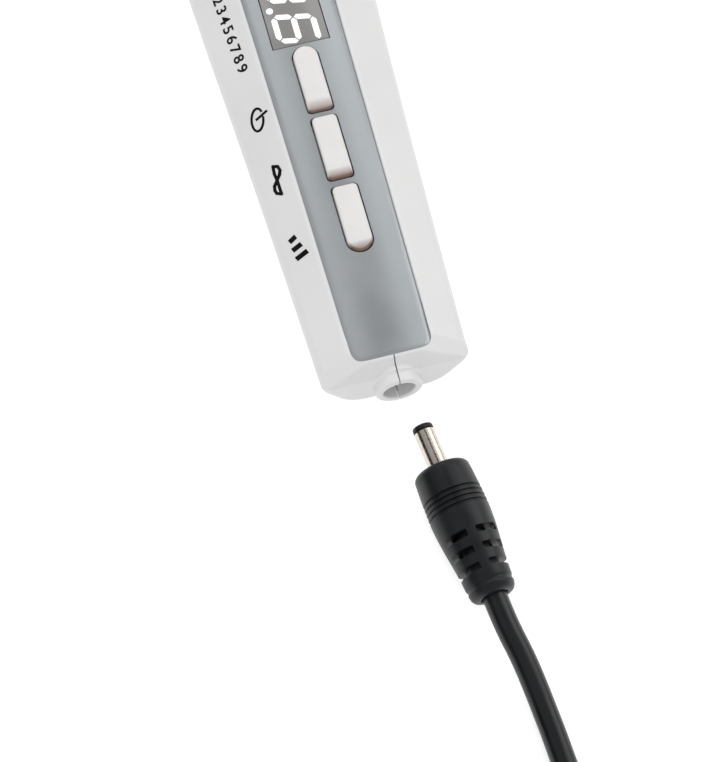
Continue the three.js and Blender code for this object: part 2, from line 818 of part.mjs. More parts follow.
function addButton(button) {
  const middle = (button.start + button.end) / 2;
  const cap = solidOf(raised(buttonShape(button, 0), flangeTop - flangeThickness / 2,
    panelTop + buttonProud, buttonEdgeRound)).subtract(fallCut(button));
  const inShare = flangeWidth / 2;
  const flangeHalf = buttonHalf + flangeWidth;
  const flange = solidOf(block(-flangeHalf, flangeHalf, button.start + inShare, button.end - inShare,
    flangeBottom, flangeTop));
  add(`${button.name}_button`, geometryOf(cap.add(flange)), 'keyWhite');

  const stemTop = flangeBottom - seatGap;
  const stemBottom = switchBottom + switchHeight - stemDepth;
  const stem = rod(stemRadius, stemBottom, stemTop, fineSides).rotateX(Math.PI / 2);
  add(`${button.name}_stem`, stem.translate(0, middle, 0), 'darkNylon');

  const holeBottom = stemBottom - buttonTravel - seatGap;
  const hole = rod(stemHoleRadius, holeBottom, stemTop, fineSides).rotateX(Math.PI / 2);
  const half = switchSide / 2;
  const can = block(-half, half, middle - half, middle + half, switchBottom, switchBottom + switchHeight);
  const opened = solidOf(can).subtract(solidOf(hole.translate(0, middle, 0)));
  add(`${button.name}_switch`, geometryOf(opened), 'sheetSteel');
}

function addPanel() {
  let panel = solidOf(raised(panelShape(0), panelBottom, panelTop, panelEdgeRound));
  buttons.forEach((button) => {
    const slot = raised(buttonShape(button, buttonGap), panelBottom - overrun, panelTop + overrun);
    panel = panel.subtract(solidOf(slot));
  });
  const hole = windowHalf + panelGap;
  panel = panel.subtract(solidOf(block(-hole, hole, windowStart - panelGap, windowEnd + panelGap,
    panelBottom - overrun, panelTop + overrun)));
  add('front_panel', geometryOf(panel), 'lacquer');
}

function addDisplay() {
  const top = panelTop - windowSink;
  add('display_window', block(-windowHalf, windowHalf, windowStart, windowEnd, top - windowThickness, top),
    'smokedWindow');
  const bottom = boardTop + seatGap;
  add('display_module', block(-displayHalf, displayHalf, windowStart + seatGap, windowEnd - seatGap,
    bottom, bottom + displayHeight), 'darkNylon');
}

function addBoard() {
  add('main_board', block(-boardHalf, boardHalf, boardStart, boardEnd, boardBottom, boardTop), 'solderMask');
  const bottom = boardTop + seatGap;
  const half = chipSide / 2;
  add('controller_chip', block(-half, half, chipPlace - half, chipPlace + half, bottom, bottom + chipHeight),
    'chipResin');
  const coil = rod(coilRadius, bottom, bottom + coilHeight).rotateX(Math.PI / 2);
  add('boost_inductor', coil.translate(0, coilPlace, 0), 'ferrite');
}

function roundedPlate(half, start, end, round) {
  const shape = new THREE.Shape();
  shape.moveTo(-half + round, start);
  shape.lineTo(half - round, start);
  shape.quadraticCurveTo(half, start, half, start + round);
  shape.lineTo(half, end - round);
  shape.quadraticCurveTo(half, end, half - round, end);
  shape.lineTo(-half + round, end);
  shape.quadraticCurveTo(-half, end, -half, end - round);
  shape.lineTo(-half, start + round);
  shape.quadraticCurveTo(-half, start, -half + round, start);
  return shape;
}

function addBattery() {
  add('battery_pad', block(-batteryHalf, batteryHalf, batteryStart, batteryEnd, batteryPadBottom,
    batteryPadBottom + padThickness), 'foam');
  const plate = roundedPlate(batteryHalf, batteryStart, batteryEnd, 2 * batteryRound);
  add('battery_cell', raised(plate, batteryBottom, batteryTop, batteryRound, cornerSteps),
    'pouchFoil');
  const leadHeight = (batteryBottom + batteryTop) / 2;
  const leads = [
    ['battery_red_lead', leadHalfSpread, 'redSleeve'],
    ['battery_black_lead', -leadHalfSpread, 'blackSleeve'],
  ];
  leads.forEach(([name, x, finish]) => {
    const start = batteryEnd + 2 * seatGap;
    const end = boardBottom - 2 * seatGap;
    const points = [
      [x, start, leadHeight],
      [x, start + leadRun / 2, leadHeight],
      [x, start + leadRun, (leadHeight + end) / 2],
      [x, start + leadRun, end],
    ];
    add(name, wire(points, leadRadius, batteryLeadSteps), finish);
  });
}

function addJack() {
  const start = tailWall + seatGap;
  const end = start + jackLength;
  const body = solidOf(block(-jackHalfWidth, jackHalfWidth, start, end,
    portHeight - jackHalfHeight, portHeight + jackHalfHeight));
  const bore = rod(jackBoreRadius, start - overrun, end - jackBack).translate(0, 0, portHeight);
  const slotStart = start + jackPinSetBack;
  const slotTop = portHeight + jackHalfHeight - contactThickness;
  const slotEnd = slotStart + contactLength + 2 * seatGap;
  const slotHalf = contactHalfWidth + seatGap;
  const slot = block(-slotHalf, slotHalf, slotStart, slotEnd, portHeight, slotTop);
  add('charge_jack', geometryOf(body.subtract(solidOf(bore)).subtract(solidOf(slot))), 'darkNylon');
  const pin = rod(jackPinRadius, start + jackPinSetBack, end - jackBack - seatGap, fineSides);
  add('jack_pin', pin.translate(0, 0, portHeight), 'brass');

  const leafTop = slotTop - seatGap;
  const [leafStart, leafEnd] = [slotStart + seatGap, slotStart + seatGap + contactLength];
  const leafMiddle = (leafStart + leafEnd) / 2;
  const leaf = new THREE.Shape();
  leaf.moveTo(leafStart, leafTop);
  leaf.quadraticCurveTo(leafMiddle, leafTop - 2 * contactBow, leafEnd, leafTop);
  leaf.lineTo(leafEnd, leafTop - contactThickness);
  const leafBottom = leafTop - contactThickness;
  leaf.quadraticCurveTo(leafMiddle, leafBottom - 2 * contactBow, leafStart, leafBottom);
  add('jack_spring_contact', acrossPen(leaf, contactHalfWidth, cornerSteps), 'needleSteel');
}

function addHighVoltage() {
  const plate = roundedPlate(blockHalf, blockStart, blockEnd, 2 * blockRound);
  add('hv_transformer', raised(plate, blockBottom, blockTop, blockRound, cornerSteps), 'darkNylon');
  const middle = (blockBottom + blockTop) / 2;
  const overScrew = screwHeight + screwBossRadius + hvLeadRadius + 2 * seatGap;
  const start = blockEnd + 2 * seatGap;
  const end = coneStart + coneSeat + 2 * noseFit;
  const points = [
    [0, start, middle],
    [0, start + (neckScrewPlace - start) / 3, middle + hvLeadRadius],
    [0, neckScrewPlace - leadRun / 2, overScrew],
    [0, neckScrewPlace + leadRun / 2, overScrew],
    [0, (neckScrewPlace + neckEnd) / 2, noseHeight],
    [0, neckEnd, noseHeight],
    [0, end - 2 * seatGap, noseHeight],
  ];
  add('hv_lead', wire(points, hvLeadRadius, hvLeadSteps), 'redSleeve');
}

function addScrews() {
  screwPlaces.forEach((place, i) => {
    const seat = screwSeat(place);
    const profile = [
      [0, screwTip(place)],
      [screwRadius, screwTip(place) + screwRadius],
      [screwRadius, seat],
      [screwHeadRadius, seat],
      [screwHeadRadius, seat + screwHeadThickness],
      [0, seat + screwHeadThickness],
    ];
    const screw = turned(profile, fineSides).rotateZ(-Math.PI / 2).translate(0, place, screwHeight);
    add(`shell_screw_${i + 1}`, screw, 'screwSteel');
  });
}

// The nose cone's outside, from its foot to its tip
function coneProfile() {
  const foot = new THREE.Vector2(coneRadius, coneStart);
  const [bendRadiusShare, bendPlaceShare] = coneBendShares;
  const bend = new THREE.Vector2(coneRadius * bendRadiusShare, coneStart + coneLength * bendPlaceShare);
  const tip = new THREE.Vector2(coneTipRadius, coneEnd);
  return new THREE.QuadraticBezierCurve(foot, bend, tip).getPoints(2 * cornerSteps);
}

function addNose() {
  const ring = [
    [spigotRadius + noseFit, ringStart],
    [ringRadius - ringEdge, ringStart],
    [ringRadius, ringStart + ringEdge],
    [ringRadius, ringStart + ringWidth - ringEdge],
    [ringRadius - ringEdge, ringStart + ringWidth],
    [spigotRadius + noseFit, ringStart + ringWidth],
    [spigotRadius + noseFit, ringStart],
  ];
  add('nose_ring', turned(ring).translate(0, 0, noseHeight), 'chrome');

  const seatEnd = coneStart + coneSeat + noseFit;
  const collarEnd = seatEnd + socketCollarLength + noseFit;
  const cone = [
    ...coneProfile().map((p) => [p.x, p.y]),
    [socketRadius + noseFit, coneEnd],
    [socketRadius + noseFit, collarEnd],
    [socketCollarRadius + noseFit, collarEnd],
    [socketCollarRadius + noseFit, seatEnd],
    [spigotRadius + noseFit, seatEnd],
    [spigotRadius + noseFit, coneStart],
    [coneRadius, coneStart],
  ];
  add('nose_cone', turned(cone).translate(0, 0, noseHeight), 'housing');

  const socket = [
    [0, seatEnd],
    [socketCollarRadius, seatEnd],
    [socketCollarRadius, seatEnd + socketCollarLength],
    [socketRadius, seatEnd + socketCollarLength],
    [socketRadius, socketEnd],
    [shankRadius + noseFit, socketEnd],
    [shankRadius + noseFit, socketEnd - shankLength - noseFit],
    [0, socketEnd - shankLength - noseFit],
  ];
  add('needle_socket', turned(socket, fineSides).translate(0, 0, noseHeight), 'brass');
}

function addNeedle() {
  const hub = [
    [0, hubStart - shankLength],
    [shankRadius, hubStart - shankLength],
    [shankRadius, hubStart],
    [hubRadius, hubStart],
    [hubRadius, hubStart + hubLength / 2],
    [hubRadius / 2, hubEnd],
    [needleRadius + noseFit, hubEnd],
    [needleRadius + noseFit, hubEnd - hubGrip],
    [0, hubEnd - hubGrip],
  ];
  add('needle_hub', turned(hub, fineSides).translate(0, 0, noseHeight), 'brass');
  const tip = hubEnd + needleReach;
  const needle = [
    [0, hubEnd - hubGrip + noseFit],
    [needleRadius, hubEnd - hubGrip + noseFit],
    [needleRadius, tip - needlePoint],
    [0, tip],
  ];
  add('needle', turned(needle, needleSides).translate(0, 0, noseHeight), 'needleSteel');
}

function addCap() {
  const footHalf = smoothThrough(coneProfile().map((p) => [p.y, p.x]), capStart) + capRimGap;
  const shoulder = coneEnd + capShoulderGap;
  const inner = new THREE.QuadraticBezierCurve(
    new THREE.Vector2(footHalf, capStart),
    new THREE.Vector2(footHalf - capWall / 2, (capStart + shoulder) / 2),
    new THREE.Vector2(capInnerRadius + capWall / 4, shoulder),
  ).getPoints(cornerSteps).map((p) => [p.x, p.y]);
  const outer = inner.map(([x, y]) => [x + capWall, y]);
  const innerEnd = capEnd - capEndWall;
  const dome = new THREE.QuadraticBezierCurve(
    new THREE.Vector2(capInnerRadius + capWall, capEnd - capRound),
    new THREE.Vector2(capInnerRadius + capWall, capEnd),
    new THREE.Vector2(capInnerRadius + capWall - capRound, capEnd),
  ).getPoints(cornerSteps).map((p) => [p.x, p.y]);
  const innerWall = [[0, innerEnd], [capInnerRadius, innerEnd], ...[...inner].reverse()];
  const shell = turned([...innerWall, ...outer, ...dome, [0, capEnd]]);
  add('tip_cap', shell.translate(0, 0, noseHeight), 'clearCap');
}

function addSpotlight() {
  const lensBottom = lensProud - lensLength;
  const dome = new THREE.QuadraticBezierCurve(
    new THREE.Vector2(lensRadius, 0),
    new THREE.Vector2(lensRadius, lensProud),
    new THREE.Vector2(0, lensProud),
  ).getPoints(cornerSteps).map((p) => [p.x, p.y]);
  add('light_lens', alongLens(turned([[0, lensBottom], [lensRadius, lensBottom], ...dome], fineSides)),
    'clearLens');
  const ledTop = lensBottom - lensGap;
  const led = [
    [0, ledTop - ledLength - ledBase],
    [ledBaseRadius, ledTop - ledLength - ledBase],
    [ledBaseRadius, ledTop - ledLength],
    [ledRadius, ledTop - ledLength],
    [ledRadius, ledTop - ledRadius / 2],
    [ledRadius / 2, ledTop],
    [0, ledTop],
  ];
  add('light_led', alongLens(turned(led, fineSides)), 'phosphor');
}

// The charging plug's own group: its axis runs along -Y from the barrel's tip
const plug = new THREE.Group();
plug.position.set(plugX, plugTipPlace, gripRadius + gripBelly + floorGap);
plug.rotation.z = plugTurn;
pen.add(plug);

const flip = (profile) => profile.map(([radius, reach]) => [radius, -reach]);

function gripProfile() {
  const start = barrelShown;
  const bulge = (reach) => {
    const share = Math.min(reach / gripBellyAt, 1);
    return gripRadius + gripBelly * share * share;
  };
  const grooves = Array.from({ length: grooveCount }, (_, i) => {
    const reach = grooveStart + i * groovePitch;
    return [
      [bulge(reach), start + reach],
      [bulge(reach) - grooveDepth, start + reach + grooveWidth / 4],
      [bulge(reach) - grooveDepth, start + reach + (3 * grooveWidth) / 4],
      [bulge(reach + grooveWidth), start + reach + grooveWidth],
    ];
  }).flat();
  const end = start + gripLength;
  const neck = start + reliefEnd + collarNeckLength;
  return [
    [barrelRadius + seatGap, start],
    [gripRadius - gripFrontRound, start],
    [gripRadius - gripFrontRound / 3, start + gripFrontRound / 3],
    [gripRadius - gripFrontRound / 6, start + gripFrontRound],
    ...grooves,
    [gripRadius + gripBelly, start + gripBellyAt],
    [gripRadius + gripBelly, start + reliefStart - reliefSlotWidth],
    [gripRadius - reliefTaper, start + reliefEnd],
    [collarNeck, neck],
    [collarRadius, neck + collarNeckLength],
    [collarRadius, end - collarRound],
    [collarRadius - collarRound, end],
    [0, end],
    [0, start + barrelHeld + seatGap],
    [barrelRadius + seatGap, start + barrelHeld + seatGap],
    [barrelRadius + seatGap, start],
  ];
}

// Slots that let the strain relief bend: a pair in each row, parted by a bridge above and below
function reliefSlots() {
  const pitch = (reliefEnd - reliefStart) / reliefRows;
  return Array.from({ length: reliefRows }, (_, row) => {
    const at = -(barrelShown + reliefStart + row * pitch);
    const core = solidOf(turned(flip([
      [0, -at - overrun],
      [reliefCoreRadius, -at - overrun],
      [reliefCoreRadius, -at + reliefSlotWidth + overrun],
      [0, -at + reliefSlotWidth + overrun],
    ])));
    return [-1, 1].map((hand) => {
      const near = (hand * reliefBridge) / 2;
      const far = hand * (gripRadius + gripBelly + overrun);
      const high = gripRadius + gripBelly + overrun;
      const slot = block(Math.min(near, far), Math.max(near, far), at - reliefSlotWidth, at, -high, high);
      return solidOf(slot).subtract(core);
    });
  }).flat();
}

function addPlug() {
  const barrel = [
    [barrelBore + tipRingLength / 2, tipRingLength + seatGap],
    [barrelRadius, tipRingLength + seatGap],
    [barrelRadius, barrelShown + barrelHeld],
    [barrelBore, barrelShown + barrelHeld],
    [barrelBore, tipRingLength + 2 * seatGap],
    [barrelBore + tipRingLength / 2, tipRingLength + seatGap],
  ];
  add('plug_barrel', turned(flip(barrel), roundSides), 'nickel', plug);
  const tipRing = [
    [barrelBore, 0],
    [barrelRadius - seatGap, 0],
    [barrelRadius, seatGap],
    [barrelRadius, tipRingLength],
    [barrelBore, tipRingLength],
    [barrelBore, 0],
  ];
  add('plug_tip_ring', turned(flip(tipRing), roundSides), 'chipResin', plug);
  let grip = solidOf(turned(flip(gripProfile())));
  reliefSlots().forEach((slot) => {
    grip = grip.subtract(slot);
  });
  add('plug_grip', geometryOf(grip), 'blackPvc', plug);
}

// The hank: loops that spiral in on the first layer, climb along a run and spiral out on the second
const loopSteps = 2 * (runSteps + foldSteps);
const hankTurns = hankLoops + runSteps / loopSteps;
const hankReach = foldRadius + (hankPitch * hankTurns) / 2;
const hankX = hankRunX - hankReach;
const runStart = hankTop - hankReach;
const hankMiddle = runStart - runLength / 2;
const foldPlace = hankMiddle - runLength / 2;
const waistPull = hankReach - hankPitch * waistPitchShare;
const tieLift = tieThickness + tieGap;
const cordHeight = cordRadius + floorGap;
const tieBoreTop = cordHeight + layerPitch + tieLift + cordRadius + tieGap;

function hankPoint(step) {
  const turn = step / loopSteps;
  const inHalf = step % (runSteps + foldSteps);
  const sign = Math.floor(step / (runSteps + foldSteps)) % 2 ? -1 : 1;
  const reach = hankReach - hankPitch * Math.min(turn, hankTurns - turn);
  const climb = THREE.MathUtils.smoothstep(turn, hankLoops / 2, hankLoops / 2 + runSteps / loopSteps);
  const height = cordHeight + layerPitch * climb;
  if (inHalf <= runSteps) {
    const share = inHalf / runSteps;
    const waist = (1 - Math.cos(2 * Math.PI * share)) / 2;
    const x = hankX + sign * (reach - waistPull * waist);
    const place = hankMiddle + (sign * runLength * (1 - 2 * share)) / 2;
    return new THREE.Vector3(x, place, height + tieLift * waist);
  }
  const angle = (Math.PI * (inHalf - runSteps)) / foldSteps;
  const x = hankX + sign * reach * Math.cos(angle);
  return new THREE.Vector3(x, hankMiddle - sign * (runLength / 2 + reach * Math.sin(angle)), height);
}

// The hank's middle line, with a straight diameter before its first loop and after its last
function hankPoints() {
  const points = Array.from({ length: hankTurns * loopSteps + 1 }, (_, step) => hankPoint(step));
  const straight = new THREE.Vector3(0, 2 * cordRadius, 0);
  return [points[0].clone().add(straight), ...points, points[points.length - 1].clone().sub(straight)];
}

// A round tube along points that lie nearly level, with its rings square to the way it goes
function tubeAlong(points, radius, sides) {
  const rings = points.map((point, i) => {
    const before = points[Math.max(i - 1, 0)];
    const after = points[Math.min(i + 1, points.length - 1)];
    const along = after.clone().sub(before).normalize();
    const across = along.clone().cross(new THREE.Vector3(0, 0, 1)).normalize();
    const up = across.clone().cross(along);
    return Array.from({ length: sides }, (_, j) => {
      const angle = (j * 2 * Math.PI) / sides;
      const aside = across.clone().multiplyScalar(radius * Math.cos(angle));
      return point.clone().add(aside).addScaledVector(up, radius * Math.sin(angle));
    });
  });
  return loft(rings);
}

// The least room between two turns of the hank, measured on points along its middle line
function leastGap(points) {
  const path = new THREE.CatmullRomCurve3(points);
  const total = path.getLength();
  const count = Math.round(total / cordRadius);
  const along = path.getSpacedPoints(count);
  const apart = Math.ceil((foldRadius * Math.PI) / (total / count));
  let least = Infinity;
  for (let i = 0; i < count; i += 1) {
    for (let j = i + apart; j <= count; j += 1) least = Math.min(least, along[i].distanceTo(along[j]));
  }
  return least - 2 * cordRadius;
}

// From the grip along the surface to the hank, its points chosen by hand
const runPoints = [
  [5.6, -39.09, 5.12], [6.16, -44, 4.85], [7.3, -50, 3.95], [8.45, -60, 2.45], [9.15, -70, 2.1],
  [10.05, -76, 2.1], [11.94, -82, 2.1], [13.6, -88, 2.1],
];
// From the hank over its lower fold: degrees round the fold, distance from its middle, and height
const tailWay = [
  [17.8, 22.2, 6.85], [29.8, 22.9, 7.1], [44.1, 23, 7.6], [59.9, 22.3, 8.3], [76.8, 21, 9.2],
  [94.8, 19.3, 10.4], [114.7, 17.5, 11.2], [136.5, 16.1, 11.7], [160, 15.2, 12.3],
];

// The far plug's own group: it lies over the tie and the left-hand bundle, its mouth towards +Y
const usb = new THREE.Group();
usb.position.set(hankX - usbAside, hankMiddle, tieBoreTop + tieThickness + usbRest + usbGripHalfHeight);
usb.rotation.set(usbTilt, 0, -usbTurn, 'ZXY');
usb.updateMatrix();
pen.add(usb);

function tailPoints() {
  const overFold = tailWay.map(([degrees, reach, height]) => {
    const angle = THREE.MathUtils.degToRad(degrees);
    return [hankX + reach * Math.cos(angle), foldPlace - reach * Math.sin(angle), height];
  });
  const behindPlug = [usbStraight, 2 * seatGap].map((gap) => (
    new THREE.Vector3(0, -usbGripLength - gap, 0).applyMatrix4(usb.matrix).toArray()));
  return [...overFold, ...behindPlug];
}

function addCord() {
  const hank = hankPoints();
  const [hankStart, hankEnd] = [hank[0], hank[hank.length - 1]];
  const run = [...runPoints, [hankStart.x, hankStart.y + 2 * seatGap, hankStart.z]];
  const tail = [[hankEnd.x, hankEnd.y - 2 * seatGap, hankEnd.z], ...tailPoints()];
  add('charge_cord_run', wire(run, cordRadius, runCordSteps), 'cordJacket');
  add('charge_cord_hank', tubeAlong(hank, cordRadius, hankSides), 'cordJacket');
  add('charge_cord_tail', wire(tail, cordRadius, tailCordSteps), 'cordJacket');
  console.log(`hank: its least gap to itself is ${leastGap(hank).toFixed(2)} mm`);
}

// A rounded box's outline across the Y axis
function boxRing(x0, x1, z0, z1, round, place) {
  const corners = [[x1, z1], [x1, z0], [x0, z0], [x0, z1]].map(([x, z]) => new THREE.Vector2(x, z));
  const outline = corners.flatMap((_, i) => roundCorner(corners, i, round));
  return outline.map((p) => new THREE.Vector3(p.x, place, p.y));
}

function addTie() {
  const edgeShare = (tieWidth * runSteps) / (2 * runLength);
  const widest = (step) => THREE.MathUtils.lerp(hankPoint(step).x, hankPoint(step - 1).x, edgeShare);
  const rightX = widest(runSteps / 2) + cordRadius + tieGap;
  const leftX = widest(loopSteps / 2 + runSteps / 2) - cordRadius - tieGap;
  const bottom = floorGap + tieThickness;
  const ends = [hankMiddle - tieWidth / 2, hankMiddle + tieWidth / 2];
  const band = (grow, beyond) => solidOf(loft(ends.map((place, i) => (
    boxRing(leftX - grow, rightX + grow, bottom - grow, tieBoreTop + grow, cordRadius + grow,
      place + (i ? beyond : -beyond))))));
  add('cord_tie', geometryOf(band(tieThickness, 0).subtract(band(0, overrun))), 'tieRubber');
}

function addUsb() {
  const ring = (half, height, round, place) => boxRing(-half, half, -height, height, round, place);
  const body = [
    ring(usbTailHalf - usbGripRound / 2, usbTailHalf - usbGripRound / 2, usbGripRound, -usbGripLength),
    ring(usbTailHalf, usbTailHalf, usbGripRound, -usbGripLength + usbGripRound / 2),
    ring(usbGripHalfWidth, usbGripHalfHeight, usbGripRound, usbGripTail - usbGripLength),
    ring(usbGripHalfWidth, usbGripHalfHeight, usbGripRound, -usbGripRound / 3),
    ring(usbGripHalfWidth - usbGripRound / 3, usbGripHalfHeight - usbGripRound / 3, usbGripRound, 0),
  ];
  const metal = (grow, start, end) => solidOf(loft([start, end].map((place) => (
    ring(usbHalfWidth + grow, usbHalfHeight + grow, usbSheet + grow, place)))));
  const pocket = metal(seatGap, -usbHeld - seatGap, overrun);
  add('usb_grip', geometryOf(solidOf(loft(body)).subtract(pocket)), 'blackPvc', usb);
  const bore = metal(-usbSheet, -usbHeld - overrun, usbReach + overrun);
  add('usb_shell', geometryOf(metal(0, -usbHeld, usbReach).subtract(bore)), 'sheetSteel', usb);
  const tongueBottom = usbSheet + seatGap - usbHalfHeight;
  const tongueTop = tongueBottom + usbTongueThickness;
  const tongueEnd = usbReach - usbTongueSetBack;
  const tongue = block(-usbTongueHalf, usbTongueHalf, -usbHeld, tongueEnd, tongueBottom, tongueTop);
  add('usb_tongue', tongue, 'whiteNylon', usb);
  for (let i = 0; i < usbContacts; i += 1) {
    const x = (i - (usbContacts - 1) / 2) * contactPitch;
    const end = tongueEnd - usbTongueSetBack;
    const strip = block(x - contactStripHalf, x + contactStripHalf, end - contactStripLength, end,
      tongueTop + seatGap, tongueTop + seatGap + contactStripHeight);
    add(`usb_contact_${i + 1}`, strip, 'brass', usb);
  }
}

const [leftShell, rightShell] = shells();
add('left_shell', leftShell, 'housing');
add('right_shell', rightShell, 'housing');
const insides = [addDisplay, addBoard, addBattery, addJack, addHighVoltage];
const head = [addNose, addNeedle, addCap, addSpotlight];
const lead = [addPlug, addCord, addTie, addUsb];
[addPanel, ...insides, addScrews, ...head, ...lead].forEach((build) => build());
buttons.forEach(addButton);

pen.position.y = -(capEnd - portReach) / 2;

export default pen;
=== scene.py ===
import math

import bmesh
import bpy
from mathutils import Matrix, Vector


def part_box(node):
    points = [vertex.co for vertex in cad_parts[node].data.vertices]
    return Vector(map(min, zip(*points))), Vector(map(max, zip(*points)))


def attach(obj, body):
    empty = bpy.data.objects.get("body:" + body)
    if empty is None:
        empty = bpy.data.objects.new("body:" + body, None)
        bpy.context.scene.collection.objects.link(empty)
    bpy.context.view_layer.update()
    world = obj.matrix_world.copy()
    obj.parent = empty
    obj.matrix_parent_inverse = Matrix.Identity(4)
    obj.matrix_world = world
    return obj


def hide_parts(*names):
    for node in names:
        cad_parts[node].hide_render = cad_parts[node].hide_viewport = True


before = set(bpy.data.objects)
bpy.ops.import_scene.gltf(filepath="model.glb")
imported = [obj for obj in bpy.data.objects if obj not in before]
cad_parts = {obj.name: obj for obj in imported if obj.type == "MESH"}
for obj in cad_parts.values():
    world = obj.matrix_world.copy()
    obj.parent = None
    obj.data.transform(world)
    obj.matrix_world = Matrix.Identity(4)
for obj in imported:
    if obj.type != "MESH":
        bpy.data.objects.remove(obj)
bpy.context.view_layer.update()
mm = 0.001
fullTurn = 2 * math.pi

# Places along the pen count from its tail face; the port's collar stands 2 mm proud of that face
collarReach = 2
stripHalf = 8.1  # half the front strip's width where it is widest
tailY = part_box("left_shell")[0].y + collarReach * mm
print("frame loaded, tail face at y", round(tailY, 5))


def spot(x, place, z):
    return Vector((x * mm, tailY + place * mm, z * mm))


# Camera, at the photo's viewing angle
view = dict(azimuth=-14.93, elevation=67.15, place=(-0.04092, -0.21512, 0.33098), lens=100.87)

bpy.ops.object.select_all(action="DESELECT")
bpy.ops.object.camera_add(
    location=view["place"],
    rotation=(math.radians(90 - view["elevation"]), 0, math.radians(view["azimuth"])),
)
camera = bpy.context.object
camera.data.lens = view["lens"]
camera.data.sensor_width = 36
camera.data.clip_start = 0.01
bpy.context.scene.camera = camera
bpy.context.scene.view_settings.view_transform = "Standard"
print("camera placed")


# Colours and nodes
def srgb(code):
    parts = [int(code[i:i + 2], 16) / 255 for i in (1, 3, 5)]
    linear = [c / 12.92 if c <= 0.04045 else ((c + 0.055) / 1.055) ** 2.4 for c in parts]
    return (*linear, 1)


def addNode(tree, kind, settings=None, inputs=None, links=None):
    node = tree.nodes.new(kind)
    for key, value in (settings or {}).items():
        setattr(node, key, value)
    for key, value in (inputs or {}).items():
        node.inputs[key].default_value = value
    for key, source in (links or {}).items():
        tree.links.new(source, node.inputs[key])
    return node


# Colour that drifts a little, roughness that drifts, and a fine grain, all on the piece's own place;
# drift, grain and depth are in mm
def makeFinish(name, sockets, low, high, drift, rough, grain, depth, stretch=(1, 1, 1)):
    material = bpy.data.materials.new(name)
    material.use_nodes = True
    tree = material.node_tree
    shader = tree.nodes["Principled BSDF"]
    for key, value in sockets.items():
        shader.inputs[key].default_value = value
    place = addNode(tree, "ShaderNodeTexCoord").outputs["Object"]
    scaled = addNode(tree, "ShaderNodeMapping", inputs={"Scale": stretch}, links={"Vector": place}).outputs[0]
    clouds = addNode(
        tree, "ShaderNodeTexNoise", inputs={"Scale": 1 / (drift * mm), "Detail": 3.0},
        links={"Vector": scaled})
    ramp = addNode(tree, "ShaderNodeValToRGB", links={"Fac": clouds.outputs["Fac"]})
    for stop, position, colour in zip(ramp.color_ramp.elements, (0.35, 0.65), (low, high)):
        stop.position = position
        stop.color = srgb(colour)
    tree.links.new(ramp.outputs["Color"], shader.inputs["Base Color"])
    worn = addNode(
        tree, "ShaderNodeMapRange",
        inputs={"From Min": 0.3, "From Max": 0.7, "To Min": rough[0], "To Max": rough[1]},
        links={"Value": clouds.outputs["Fac"]})
    tree.links.new(worn.outputs["Result"], shader.inputs["Roughness"])
    speck = addNode(
        tree, "ShaderNodeTexNoise", inputs={"Scale": 1 / (grain * mm), "Detail": 2.0},
        links={"Vector": scaled})
    bump = addNode(
        tree, "ShaderNodeBump", inputs={"Strength": 0.5, "Distance": depth * mm},
        links={"Height": speck.outputs["Fac"]})
    tree.links.new(bump.outputs["Normal"], shader.inputs["Normal"])
    return material, tree, shader, scaled


# The lacquered face reads a little more crowned than it is: it thins towards both long edges
def crownStrip(tree, shader, place):
    across = addNode(tree, "ShaderNodeSeparateXYZ", links={"Vector": place}).outputs["X"]
    share = addNode(tree, "ShaderNodeMath", {"operation": "DIVIDE"}, {1: stripHalf * mm}, {0: across})
    twice = {0: share.outputs[0], 1: share.outputs[0]}
    squared = addNode(tree, "ShaderNodeMath", {"operation": "MULTIPLY"}, links=twice)
    crown = addNode(
        tree, "ShaderNodeBump", {"invert": True}, {"Strength": 1.0, "Distance": 0.5 * mm},
        {"Height": squared.outputs[0], "Normal": shader.inputs["Normal"].links[0].from_socket})
    tree.links.new(crown.outputs["Normal"], shader.inputs["Normal"])


# The keys' ends that fall away towards the tail get painted shade: faces turned towards the tail are mixed
# towards a dark brown
def paintShadeOnFallenEnds(tree, shader):
    normal = addNode(tree, "ShaderNodeNewGeometry").outputs["Normal"]
    along = addNode(tree, "ShaderNodeSeparateXYZ", links={"Vector": normal}).outputs["Y"]
    paintedShadeShare = addNode(
        tree, "ShaderNodeMapRange", inputs={"From Min": -0.1, "From Max": -0.6}, links={"Value": along})
    plain = shader.inputs["Base Color"].links[0].from_socket
    # Painted shade: the base colour is darkened to brown by the face's direction, not by any colour the key
    # has
    shade = addNode(
        tree, "ShaderNodeMix", {"data_type": "RGBA"}, {7: srgb("#82695D")}, {0: paintedShadeShare.outputs[0], 6: plain})
    tree.links.new(shade.outputs[2], shader.inputs["Base Color"])


# The board's woven glass just shows through its solder mask
def weaveBoard(tree, shader, place):
    weave = addNode(
        tree, "ShaderNodeTexWave", inputs={"Scale": 1 / (6 * mm), "Distortion": 0.4}, links={"Vector": place})
    cloth = addNode(
        tree, "ShaderNodeBump", inputs={"Strength": 0.2, "Distance": 0.01 * mm},
        links={"Height": weave.outputs["Fac"], "Normal": shader.inputs["Normal"].links[0].from_socket})
    tree.links.new(cloth.outputs["Normal"], shader.inputs["Normal"])


def openCells(tree, shader, place):
    cells = addNode(tree, "ShaderNodeTexVoronoi", inputs={"Scale": 1 / (0.5 * mm)}, links={"Vector": place})
    pits = addNode(
        tree, "ShaderNodeBump", inputs={"Strength": 0.6, "Distance": 0.1 * mm},
        links={"Height": cells.outputs["Distance"], "Normal": shader.inputs["Normal"].links[0].from_socket})
    tree.links.new(pits.outputs["Normal"], shader.inputs["Normal"])


